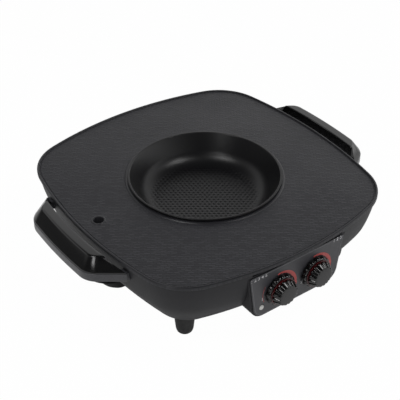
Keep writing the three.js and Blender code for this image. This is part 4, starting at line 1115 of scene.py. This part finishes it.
def box_space():
    """What the base leaves free for the control box, open to the front."""
    front = PANEL_FACE + OVERRUN
    return join(box_body(GAP, front, GAP), box_neck(GAP, front))


def panel_holes():
    """The holes for the knobs' shafts and for the lens, through the panel and the box's front."""
    nodes = ["knob_skirt_left", "knob_skirt_right", "indicator_lens"]
    holes = []
    for node, radius in zip(nodes, [BUSH_HOLE, BUSH_HOLE, LENS_RADIUS + GAP]):
        place = middle(node)
        tool = hole(radius, BOX_INSIDE - OVERRUN, PANEL_FACE + OVERRUN)
        holes.append(facing_front(tool, place.x, place.z))
    return holes


def control_box():
    """The moulded box behind the panel, hollow and open towards the base."""
    outer = join(box_body(0, BOX_FACE, 0, BOX_EDGE), box_neck(0, BOX_FACE - NECK_SETBACK))
    box = cut(outer, box_body(-BOX_WALL, BOX_INSIDE, OVERRUN), *panel_holes())
    box.name = "control_box_body"
    settle(box, SATIN_ABS, "body_plastic", "base", "control_box")


def control_panel():
    """The thin plate on the box's front, inside a narrow border."""
    plan = panel_outline(-PANEL_BORDER)
    panel = rounded_loft(
        "control_panel_plate",
        [
            (upright(panel_outline(-PANEL_BORDER - 2 * PANEL_EDGE), -PANEL_FACE), 0),
            (upright(plan, -PANEL_FACE), PANEL_EDGE),
            (upright(plan, PANEL_THICKNESS - PANEL_FACE), 0),
        ],
    )
    cut(panel, *panel_holes())
    settle(panel, PANEL_ABS, "panel_grey", "base", "control_panel")


LENS_RADIUS = 3.5
LENS_FLANGE = 1.4
LENS_FLANGE_DEPTH = 1.2
LENS_PROUD = 0.8
LENS_CROWN = LENS_RADIUS * 0.6


def indicator_lens():
    """A low dome that stands a little out of the panel, held by its flange behind the box's front."""
    shoulder = BOX_INSIDE - GAP
    front = PANEL_FACE + LENS_PROUD
    lens = turned(
        "indicator_dome",
        [
            (0, shoulder - LENS_FLANGE_DEPTH),
            (LENS_RADIUS + LENS_FLANGE, shoulder - LENS_FLANGE_DEPTH),
            (LENS_RADIUS + LENS_FLANGE, shoulder),
            (LENS_RADIUS, shoulder),
            (LENS_RADIUS, front - LENS_PROUD / 2, 0.6),
            (LENS_CROWN, front - LENS_PROUD / 8, 1),
            (0, front),
        ],
        closed=False,
    )
    place = middle("indicator_lens")
    facing_front(lens, place.x, place.z)
    settle(lens, OPAL_ACRYLIC, "lens_white", "base", "indicator_lens")


# Knobs, drawn along +Z from the panel outwards

SKIRT_RADIUS = 22
SKIRT_TAPER = 1.4
SKIRT_DEPTH = 6
SKIRT_LOBES = 12
SKIRT_VALLEY = 1.9
KNOB_GAP = 1
RING_RADIUS = 19
RING_DEPTH = 1.6
CAP_RADIUS = 17.8
CAP_FRONT = 14
CAP_RIBS = 16
CAP_GROOVE = 2.2
CAP_FRONT_GROOVE = 1.2
CAP_TURN = math.radians(8.5)
CAP_FOOT_TAPER = 0.4
CAP_RIB_TOP = 0.4
CAP_RIB_FOOT = 0.8
CAP_DOME = 0.3
KNOB_EDGE = 0.9
STEPS_PER_LOBE = 12
SHAFT_BORE = 3.3
SHAFT_BITE = 6

# How far in front of the plate's centre each part of a knob starts and ends. The caps' crowns are what
# lies furthest in front on the whole object
SKIRT_BACK = PANEL_FACE + KNOB_GAP
SKIRT_FRONT = SKIRT_BACK + SKIRT_DEPTH
RING_BACK = SKIRT_FRONT + GAP
RING_FRONT = RING_BACK + RING_DEPTH
CAP_BACK = RING_FRONT + GAP
CAP_CROWN = CENTRE.y / MM - cad_box[0].y / MM


def on_knob(side, piece, finish, slot, part):
    """Puts a part of a knob on its axis, where it turns with the knob."""
    place = middle(f"knob_skirt_{side}")
    facing_front(piece, place.x, place.z)
    settle(piece, finish, slot, f"{side}_knob", f"knob_{part}_{side}")


def knob_skirt(side):
    """The foot of the knob, scalloped like petals."""
    steps = SKIRT_LOBES * STEPS_PER_LOBE

    def petals(radius, z):
        return circle(radius, z, steps, SKIRT_LOBES, SKIRT_VALLEY)

    front = SKIRT_RADIUS - SKIRT_TAPER
    skirt = rounded_loft(
        f"knob_petals_{side}",
        [
            (petals(SKIRT_RADIUS - KNOB_EDGE, SKIRT_BACK), 0),
            (petals(SKIRT_RADIUS, SKIRT_BACK + KNOB_EDGE), 0.6),
            (petals(front, SKIRT_FRONT - KNOB_EDGE), 1.2),
            (petals(front - 2 * KNOB_EDGE, SKIRT_FRONT), 0.5),
            (circle(front - 4 * KNOB_EDGE, SKIRT_FRONT, steps), 0),
        ],
    )
    cut(skirt, rod("bore", SHAFT_BORE, SKIRT_BACK - OVERRUN, SKIRT_FRONT + OVERRUN))
    on_knob(side, skirt, GLOSS_ABS, "gloss_black", "skirt")


def knob_ring(side):
    """The clear red ring that shows between the foot and the cap."""
    ring = turned(
        f"knob_band_{side}",
        [
            (SHAFT_BORE, RING_BACK),
            (RING_RADIUS, RING_BACK, 0.3),
            (RING_RADIUS, RING_FRONT, 0.8),
            (SHAFT_BORE, RING_FRONT),
        ],
        ROUND,
    )
    on_knob(side, ring, RED_ACRYLIC, "ring_red", "ring")


def knob_cap(side):
    """The tall tapering part that the fingers hold, ribbed all round, with a slightly domed front."""
    steps = CAP_RIBS * STEPS_PER_LOBE

    def ribs(radius, groove, z):
        """A ring with flat-topped ribs and a rounded groove between two of them."""
        points = []
        for t in all_round(steps):
            away = abs((t * CAP_RIBS / math.pi + 1) % 2 - 1)
            sunk = groove * eased((away - CAP_RIB_TOP) / (CAP_RIB_FOOT - CAP_RIB_TOP))
            points.append(polar(radius - sunk, t + CAP_TURN, z))
        return points

    shoulder = CAP_CROWN - CAP_DOME
    cap = rounded_loft(
        f"knob_front_{side}",
        [
            (ribs(CAP_RADIUS - KNOB_EDGE / 2, CAP_GROOVE, CAP_BACK), 0),
            (ribs(CAP_RADIUS, CAP_GROOVE, CAP_BACK + KNOB_EDGE / 2), 0.3),
            (ribs(CAP_RADIUS - CAP_FOOT_TAPER, CAP_GROOVE, CAP_BACK + 2 * KNOB_EDGE), 1),
            (ribs(CAP_FRONT, CAP_FRONT_GROOVE, CAP_CROWN - KNOB_EDGE), 1.2),
            (ribs(CAP_FRONT - 1.2 * KNOB_EDGE, CAP_FRONT_GROOVE / 2, shoulder), 0.6),
            (circle(CAP_FRONT - 5 * KNOB_EDGE, CAP_CROWN - CAP_DOME / 3, steps), 2),
            (circle(CAP_FRONT / 3, CAP_CROWN, steps), 0),
        ],
    )
    cut(cap, rod("bore", SHAFT_BORE, CAP_BACK - OVERRUN, CAP_BACK + SHAFT_BITE))
    on_knob(side, cap, GLOSS_ABS, "gloss_black", "cap")


# Printed marks on the panel

INK_THICKNESS = 0.08
ARC_INNER = 21.6
ARC_START = math.radians(98)
ARC_END = math.radians(-14)
ARC_WIDE = 28.4
ARC_NARROW = 23.8
LINE_INSET = 1.5
LINE_WIDTH = 0.7
FINE_ARC_RADIUS = 25
FINE_ARC_WIDTH = 0.6
FINE_ARC_START = math.radians(150)
FINE_ARC_END = math.radians(204)
ARC_STEPS = 32
# A digit's height as a share of its font's size, the space between digits, and how much bolder they are
DIGIT_HEIGHT = 0.7
DIGIT_SPACE = 1.1
DIGIT_BOLD = 0.025
# Each printed number: its name, text, x, drop below the rim, and height
PRINTED_NUMBERS = [
    ("numbers_left", "1 2 3 4 5", -60.5, 17, 4.4),
    ("numbers_right", "1 2 3", 63, 15.8, 4.4),
    ("number_at_arc", "5", 7.8, 57.3, 4),
    ("number_at_lens", "1", -53.9, 53, 4.5),
]


def band(x, z, start, end, inner, outer):
    """A band round a knob, as an outline in x and z. Its outer radius runs from one value to another."""
    far, near = [], []
    for t, reach in zip(evenly(start, end, ARC_STEPS), evenly(*outer, ARC_STEPS)):
        far.append(Vector((x + reach * math.cos(t), z + reach * math.sin(t))))
        near.append(Vector((x + inner * math.cos(t), z + inner * math.sin(t))))
    return [*far, *reversed(near)]


def printed(name, plans, ink, slot):
    """Flat marks of ink on the panel, from outlines in x and z."""
    points, faces = [], []
    for plan in plans:
        first = len(points)
        points += upright(plan, -PANEL_FACE - INK_THICKNESS)
        faces.append(tuple(range(first, len(points))))
    settle(mesh_piece(name, points, faces), ink, slot, "base")


def numerals(name, text, x, z, height):
    """Plain printed numbers on the panel, centred on a place."""
    font = bpy.data.curves.new(name, "FONT")
    font.body = text
    font.size = height / DIGIT_HEIGHT
    font.align_x = "CENTER"
    font.align_y = "CENTER"
    font.space_character = DIGIT_SPACE
    font.offset = height * DIGIT_BOLD
    digits = bpy.data.objects.new(name, font)
    bpy.context.collection.objects.link(digits)
    mesh = final_mesh(digits)
    bpy.data.objects.remove(digits)
    mark = bpy.data.objects.new(name, mesh)
    bpy.context.collection.objects.link(mark)
    facing_front(mark, x, z)
    moved(mark, 0, -PANEL_FACE - INK_THICKNESS)
    settle(mark, WHITE_INK, "lens_white", "base")


def printed_marks():
    """A widening red arc at each knob, a fine one at the left knob, a line round the panel, and numbers."""
    for side in ("left", "right"):
        knob_place = middle(f"knob_skirt_{side}")
        x, z = knob_place.x, knob_place.z
        arcs = [band(x, z, ARC_START, ARC_END, ARC_INNER, (ARC_NARROW, ARC_WIDE))]
        if side == "left":
            outer = FINE_ARC_RADIUS + FINE_ARC_WIDTH
            arcs.append(band(x, z, FINE_ARC_START, FINE_ARC_END, FINE_ARC_RADIUS, (outer, outer)))
        printed(f"level_arc_{side}", arcs, RED_INK, "ring_red")
    outside = panel_outline(-PANEL_BORDER - LINE_INSET)
    inside = panel_outline(-PANEL_BORDER - LINE_INSET - LINE_WIDTH)
    strips = [[outside[i - 1], outside[i], inside[i], inside[i - 1]] for i in range(len(outside))]
    printed("panel_line", strips, GREY_INK, "panel_grey")
    for name, text, x, drop, height in PRINTED_NUMBERS:
        numerals(name, text, x, RIM - drop, height)


# Feet, drip tray and chute

FOOT_BORE = 4.2
FOOT_BORE_DEPTH = 14
FOOT_TOP = 13.75
FOOT_BOTTOM = 11
FOOT_SHOULDER = 5
FOOT_MID = 9.8
FOOT_FLAT = 7.5
FOOT_FLAT_RISE = 1.4


def foot(number):
    """A foot that widens upwards from a small flat sole, with a bore for its screw."""
    place = middle(f"foot_{number}")
    top = span(f"foot_{number}")[1].z
    piece = turned(
        f"rubber_foot_{number}",
        [
            (FOOT_BORE, 0),
            (FOOT_FLAT, 0),
            (FOOT_MID, FOOT_FLAT_RISE, 1.5),
            (FOOT_BOTTOM, FOOT_SHOULDER, 2),
            (FOOT_TOP, top, 0.6),
            (SCREW_BORE, top),
            (SCREW_BORE, FOOT_BORE_DEPTH),
            (FOOT_BORE, FOOT_BORE_DEPTH),
        ],
    )
    moved(piece, place.x, place.y)
    settle(piece, RUBBER, "foot_rubber", "base", f"foot_{number}")


TRAY_LENGTH = 82
TRAY_HALF = 28.5
TRAY_NOSE_CUT = 17
TRAY_NOSE_CUT_LOW = 12
TRAY_NOSE_BULGE = 1
TRAY_NOSE_ROUND = 6
TRAY_BACK_CUT = 8
TRAY_RIM = 1.8
TRAY_RIM_WIDTH = 3
TRAY_WALL = 1.6
TRAY_DRAFT = 0.5
TRAY_NOSE_DRAFT = 15.5
TRAY_FLOOR_ROUND = 3


def tray_plan(inset, nose_inset, nose_cut):
    """One level of the tray: round back corners, and a nose with two wide slanting corners."""
    reach = span("drip_tray")[0].x
    back = reach + TRAY_LENGTH - inset
    nose = reach + nose_inset
    half = TRAY_HALF - inset
    bulge = TRAY_NOSE_BULGE * math.sqrt(0.5)
    upper = [
        (back, half, TRAY_BACK_CUT),
        (nose + nose_cut, half, TRAY_NOSE_ROUND),
        (nose + nose_cut / 2 - bulge, half - nose_cut / 2 + bulge, TRAY_NOSE_ROUND),
        (nose, half - nose_cut, TRAY_NOSE_ROUND),
    ]
    return filleted([*upper, *[(x, -y, size) for x, y, size in reversed(upper)]])


def drip_tray():
    """An open bowl with a flat rim, drawn from the middle of its floor, up inside and down outside."""
    low, high = span("drip_tray")
    under = TRAY_RIM_WIDTH + TRAY_DRAFT
    under_nose = TRAY_RIM_WIDTH + TRAY_NOSE_DRAFT
    floor = low.z + TRAY_WALL

    def ring(inset, nose_inset, nose_cut, z):
        return ring_of(tray_plan(inset, nose_inset, nose_cut), z)

    inner = under + TRAY_WALL
    inner_nose = under_nose + TRAY_WALL
    spread = TRAY_FLOOR_ROUND * 1.5
    rim_in = TRAY_RIM_WIDTH + TRAY_WALL
    rim_under = high.z - TRAY_RIM
    tray = rounded_loft(
        "drip_tray_bowl",
        [
            (ring(inner + spread, inner_nose + spread, TRAY_NOSE_CUT_LOW, floor), 0),
            (ring(inner, inner_nose, TRAY_NOSE_CUT_LOW, floor), TRAY_FLOOR_ROUND),
            (ring(rim_in, rim_in, TRAY_NOSE_CUT, high.z), 0.6),
            (ring(0, 0, TRAY_NOSE_CUT, high.z), 0.5),
            (ring(0, 0, TRAY_NOSE_CUT, rim_under), 0.5),
            (ring(TRAY_RIM_WIDTH, TRAY_RIM_WIDTH, TRAY_NOSE_CUT, rim_under), 0.4),
            (ring(under, under_nose, TRAY_NOSE_CUT_LOW, low.z), TRAY_FLOOR_ROUND),
            (ring(under + spread, under_nose + spread, TRAY_NOSE_CUT_LOW, low.z), 0),
        ],
    )
    # The tray's plastic is coloured darker than the base's, as painted shade
    settle(tray, MATTE_SHADED_ABS, "body_plastic", "tray", "drip_tray")


def drain_chute():
    """The funnel that leads fat from the plate's nozzle down to the tray."""
    low, high = span("drain_chute")
    inner = CHUTE_RADIUS - CHUTE_WALL
    neck = high.z - CHUTE_FLARE_HEIGHT
    chute = turned(
        "drain_funnel",
        [
            (inner, low.z, 0.4),
            (CHUTE_RADIUS, low.z, 0.4),
            (CHUTE_RADIUS, neck, 2),
            (CHUTE_FLARE, high.z, 0.4),
            (CHUTE_FLARE - CHUTE_WALL, high.z, 0.4),
            (inner, neck, 2),
        ],
    )
    moved(chute, DRAIN_X)
    settle(chute, ZINC_PLATE, "zinc_steel", "base", "drain_chute")


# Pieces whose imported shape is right: only their edges are softened

KEPT_EDGE = 0.35


def kept(node, finish, width=KEPT_EDGE):
    """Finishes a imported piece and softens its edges."""
    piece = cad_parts[node]
    finished(piece, finish)
    soften(piece, width * MM)


def kept_pieces():
    for number in range(1, 5):
        kept(f"heater_bracket_{number}", ZINC_PLATE, 0.2)
        kept(f"reflector_post_{number}", ZINC_PLATE)
        kept(f"handle_screw_{number}", ZINC_PLATE, 0.2)
        kept(f"foot_screw_{number}", ZINC_PLATE, 0.2)
    for number in range(1, 4):
        kept(f"coil_stand_{number}", ZINC_PLATE)
    for side in ("left", "right"):
        kept(f"thermostat_{side}", PHENOLIC)
        kept(f"knob_shaft_{side}", BRASS_BAR, 0.2)
        kept(f"inlet_pin_{side}", BRASS_BAR, 0.3)
    for place in ("front", "back"):
        kept(f"tray_rail_{place}", ZINC_PLATE, 0.2)
    kept("inlet_housing", PHENOLIC, 0.5)
    kept("terminal_block", STEATITE)
    kept("thermal_cutout", STEATITE)
    kept("indicator_lamp", OPAL_ACRYLIC, 0.2)


# Materials of this object

PLATE_COATING = non_stick_cast_aluminium()
# PTFE on pressed aluminium: nearly black and half glossy, with soft broad highlights. The coating's
# speckle is 0.1 mm and is drawn 0.8 mm wide, to show at all
POT_COATING = grained(
    "non-stick pressed aluminium", 0x0F0F10, 0x19191B, (0.3, 0.36), [(0.8, 4)] * 3, 0.03, {"IOR": 1.38}
)
# The tray: ABS from a coarsely blasted tool, dull. Its colour is painted shade: darker than the base's
# plastic, for the shadow it sits in under the base
MATTE_SHADED_ABS = moulded_plastic("matte black ABS", 0x0E0E0F, 0x141415, 0.6, 0.7, 0.03, 0.2)
# The base and the control box: ABS from a finely blasted tool, which gives a soft satin sheen
SATIN_ABS = moulded_plastic("satin ABS", 0x232326, 0x29292C, 0.52, 0.7, 0.02, 0.22)
# The handles' lower mouldings: ABS from a smoother tool, greyer and with more sheen. Part of its light grey
# is painted reflection of the pale floor on the outer wall
GREY_ABS_PAINTED_LIGHTER = moulded_plastic("grey satin ABS", 0x3C3C40, 0x46464A, 0.26, 0.7, 0.02)
# Handle covers and knobs: ABS from a polished tool, which mirrors the room softly
GLOSS_ABS = moulded_plastic("polished black ABS", 0x0C0C0D, 0x111112, 0.16, 1.5, 0.004)
# The panel: painted ABS, smooth and a little lighter than the base
PANEL_ABS = moulded_plastic("painted ABS panel", 0x38383C, 0x3E3E42, 0.4, 0.5, 0.01)
# Thermostats and the power inlet: phenolic resin, dark brown with a hard sheen
PHENOLIC = moulded_plastic("phenolic", 0x1B1512, 0x241C18, 0.35, 1.0, 0.02)
# Cast acrylic dyed in the mass: dark red in the shade, brighter where light comes through its edge
CLEAR = {"IOR": 1.49, "Transmission Weight": 0.3}
RED_ACRYLIC = grained("dyed acrylic", 0x3A0509, 0x52080C, 0.15, [(6, 2)] * 3, 0, CLEAR)
# Moulded opal acrylic: white and softly glowing, with a polished skin
MILKY = {"IOR": 1.49, "Subsurface Weight": 0.2, "Subsurface Radius": (2 * MM, 2 * MM, 2 * MM)}
OPAL_ACRYLIC = grained("opal acrylic", 0xD6D6D3, 0xE6E6E2, 0.25, [(3, 2)] * 3, 0, MILKY)
# The panel's print: three inks laid on through a mesh, flat and even
RED_INK = screen_ink("red screen ink", 0xB04A48, 0xBE5552)
WHITE_INK = screen_ink("light screen ink", 0xD0D0D2, 0xDCDCDE)
GREY_INK = screen_ink("grey screen ink", 0x66666A, 0x727276)
# Vulcanised rubber: black with a dusty grey bloom and fine pores, and no gloss
BLOOM_AND_PORES = [(5, 4), (5, 4), (0.7, 2)]
RUBBER = grained("moulded rubber", 0x131313, 0x202020, (0.55, 0.75), BLOOM_AND_PORES, 0.05, {"IOR": 1.52})
# The pan and the well: rolled steel with a bright aluminium skin
ALUMINISED = sheet_metal("aluminised steel", 0xBDBEBF, 0xD2D3D4, 0.28, 3.0, 0.02)
# Small sheet parts and screws: steel with a blue-grey zinc skin
ZINC_PLATE = sheet_metal("zinc-plated steel", 0x9C9EA1, 0xB4B6B8, 0.38, 2.0, 0.01)
# Heater tubes: stainless steel that heat has browned
HEATER_STEEL = sheet_metal("heat-browned stainless steel", 0x4A4440, 0x6A625A, 0.42, 4.0, 0.02)
# Steatite, pressed and fired: cream and dry, with the powder's grain
STEATITE = grained("pressed steatite", 0xCFC9BB, 0xDDD8CC, 0.6, [(0.8, 3)] * 3, 0.04, {"IOR": 1.6})
# Brass bar: yellow metal with the fine marks that a lathe leaves
BRASS_BAR = grained("turned brass", 0xA8853F, 0xBE9A52, (0.25, 0.4), [(0.5, 2)] * 3, 0, {"Metallic": 1.0})

grill_plate()
hot_pot()
base_shell()
bottom_cover()
heater_pan()
pot_well()
heater_tube("grill_heater", GRILL_TUBE, GRILL_RING, GRILL_RING, *GRILL_LEG_ANGLES)
heater_tube("pot_heater", POT_TUBE, COIL_INNER, COIL_OUTER, 0, 2 * math.pi * COIL_TURNS)
for side, turn in (("right", 0), ("left", math.pi)):
    handle_frame(side, turn)
    handle_grip(side, turn)
    knob_skirt(side)
    knob_ring(side)
    knob_cap(side)
control_box()
control_panel()
indicator_lens()
printed_marks()
for number in range(1, 5):
    foot(number)
drip_tray()
drain_chute()
kept_pieces()


# Floor, light and camera

# The floor's half side in metres, and how much of it is plain white to the camera and to reflections
FLOOR_HALF = 6
FLOOR_WHITE = 0.985
FLOOR_MIRRORED = 0.3
# The room's strengths, and between which sines of rise, or cosines from a direction, they change over
CEILING_LIGHT = 0.03
WALL_START = (0.28, 0.44)
WALL_END = (0.62, 0.72)
NEAR_SIDE_LIGHT = 0.06
FAR_SIDE = (-0.4, 0.2)
LOW_WALL = (0.12, 1.4)
WINDOW = (-0.2, 0.7)
WINDOW_WAY = Vector((0.97, -0.24, 0))
# The camera's aim, direction, distance and lens, fitted to the photograph's view, in metres
TARGET = Vector((-0.03787, -0.03609, 0.112))
CAMERA_WAY = Vector((-0.4762, -0.6502, 0.5920))
CAMERA_DISTANCE = 1.22931
CAMERA_SIDE = Vector((CAMERA_WAY.x, CAMERA_WAY.y, 0)).normalized()
CAMERA_RIGHT = Vector((-CAMERA_SIDE.y, CAMERA_SIDE.x, 0))
CAMERA_LENS = 87.49
CAMERA_SENSOR = 36
LIGHT_DISTANCE = 1.6
# Each lamp: its name, its lean to the camera's right and towards it in degrees, its side and its power
SOFT_BOXES = [
    ("left soft box", -26, 23, 0.5, 6.5),
    ("right soft box", 32, 10, 0.5, 6.5),
    ("low left soft box", -34, 50, 0.35, 2.2),
]


def floor():
    """A pale floor that takes the object's shadow. To the camera most of it is plain white, and to
    reflections a third."""
    made, tree = material("pale floor")
    path = add(tree, "ShaderNodeLightPath").outputs
    glossy = {0: path["Is Glossy Ray"], 1: path["Is Transmission Ray"]}
    glossy = add(tree, "ShaderNodeMath", glossy, operation="MAXIMUM").outputs[0]
    glossy = add(tree, "ShaderNodeMath", {0: glossy, 1: FLOOR_MIRRORED}, operation="MULTIPLY").outputs[0]
    share = {0: path["Is Camera Ray"], 1: FLOOR_WHITE, 2: glossy}
    share = add(tree, "ShaderNodeMath", share, operation="MULTIPLY_ADD").outputs[0]
    paint = add(tree, "ShaderNodeBsdfDiffuse", {"Color": (0.9, 0.9, 0.9, 1)}).outputs[0]
    white = add(tree, "ShaderNodeEmission", {"Color": (1, 1, 1, 1), "Strength": 1.0}).outputs[0]
    mixed = add(tree, "ShaderNodeMixShader", {0: share, 1: paint, 2: white})
    add(tree, "ShaderNodeOutputMaterial", {"Surface": mixed.outputs[0]})
    corners = [(x * FLOOR_HALF, y * FLOOR_HALF, 0) for x, y in ((-1, -1), (1, -1), (1, 1), (-1, 1))]
    ground = mesh_piece("floor", corners, [(0, 1, 2, 3)])
    ground.data.materials.append(made)


def room():
    """A white room with a dim ceiling. Its walls are bright above the object, but dim behind the camera,
    and low down they are bright only at the window. The camera itself sees white all over."""
    world = bpy.data.worlds.new("room")
    bpy.context.scene.world = world
    world.use_nodes = True
    tree = world.node_tree
    tree.nodes.clear()
    way = add(tree, "ShaderNodeTexCoord").outputs["Generated"]
    rise = add(tree, "ShaderNodeSeparateXYZ", {"Vector": way}).outputs["Z"]
    upper = {"Value": rise, 1: WALL_END[0], 2: WALL_END[1], 3: 1.0, 4: CEILING_LIGHT}
    upper = add(tree, "ShaderNodeMapRange", upper).outputs[0]
    away = add(tree, "ShaderNodeVectorMath", {0: way, 1: -CAMERA_SIDE}, operation="DOT_PRODUCT")
    far = {"Value": away.outputs["Value"], 1: FAR_SIDE[0], 2: FAR_SIDE[1], 3: NEAR_SIDE_LIGHT, 4: 1.0}
    far = add(tree, "ShaderNodeMapRange", far).outputs[0]
    upper = add(tree, "ShaderNodeMath", {0: upper, 1: far}, operation="MULTIPLY").outputs[0]
    across = add(tree, "ShaderNodeVectorMath", {0: way, 1: WINDOW_WAY}, operation="DOT_PRODUCT")
    lower = {"Value": across.outputs["Value"], 1: WINDOW[0], 2: WINDOW[1], 3: LOW_WALL[0], 4: LOW_WALL[1]}
    lower = add(tree, "ShaderNodeMapRange", lower).outputs[0]
    raised = {"Value": rise, 1: WALL_START[0], 2: WALL_START[1], 3: 0, 4: 1}
    raised = add(tree, "ShaderNodeMapRange", raised).outputs[0]
    wall = add(tree, "ShaderNodeMix", {0: raised, 2: lower, 3: upper}).outputs[0]
    path = add(tree, "ShaderNodeLightPath").outputs
    seen = add(tree, "ShaderNodeMix", {0: path["Is Camera Ray"], 2: wall, 3: 1.0}).outputs[0]
    light = add(tree, "ShaderNodeBackground", {"Color": (1, 1, 1, 1), "Strength": seen})
    add(tree, "ShaderNodeOutputWorld", {"Surface": light.outputs[0]})


def soft_box(name, to_right, to_camera, size, power):
    """A square soft light above the object, leaned to the camera's right and towards it."""
    lamp = bpy.data.lights.new(name, "AREA")
    lamp.shape = "SQUARE"
    lamp.size = size
    lamp.energy = power
    way = Vector((0, 0, 1)) + CAMERA_RIGHT * math.tan(to_right) + CAMERA_SIDE * math.tan(to_camera)
    light = bpy.data.objects.new(name, lamp)
    light.location = TARGET + way.normalized() * LIGHT_DISTANCE
    light.rotation_euler = way.to_track_quat("Z", "Y").to_euler()
    bpy.context.collection.objects.link(light)


floor()
room()
for name, to_right, to_camera, size, power in SOFT_BOXES:
    soft_box(name, math.radians(to_right), math.radians(to_camera), size, power)

camera = bpy.data.objects.new("camera", bpy.data.cameras.new("camera"))
camera.data.lens = CAMERA_LENS
camera.data.sensor_width = CAMERA_SENSOR
camera.data.clip_start = 0.01
camera.location = TARGET + CAMERA_WAY * CAMERA_DISTANCE
camera.rotation_euler = CAMERA_WAY.to_track_quat("Z", "Y").to_euler()
bpy.context.collection.objects.link(camera)
scene = bpy.context.scene
scene.camera = camera
scene.view_settings.view_transform = "Standard"
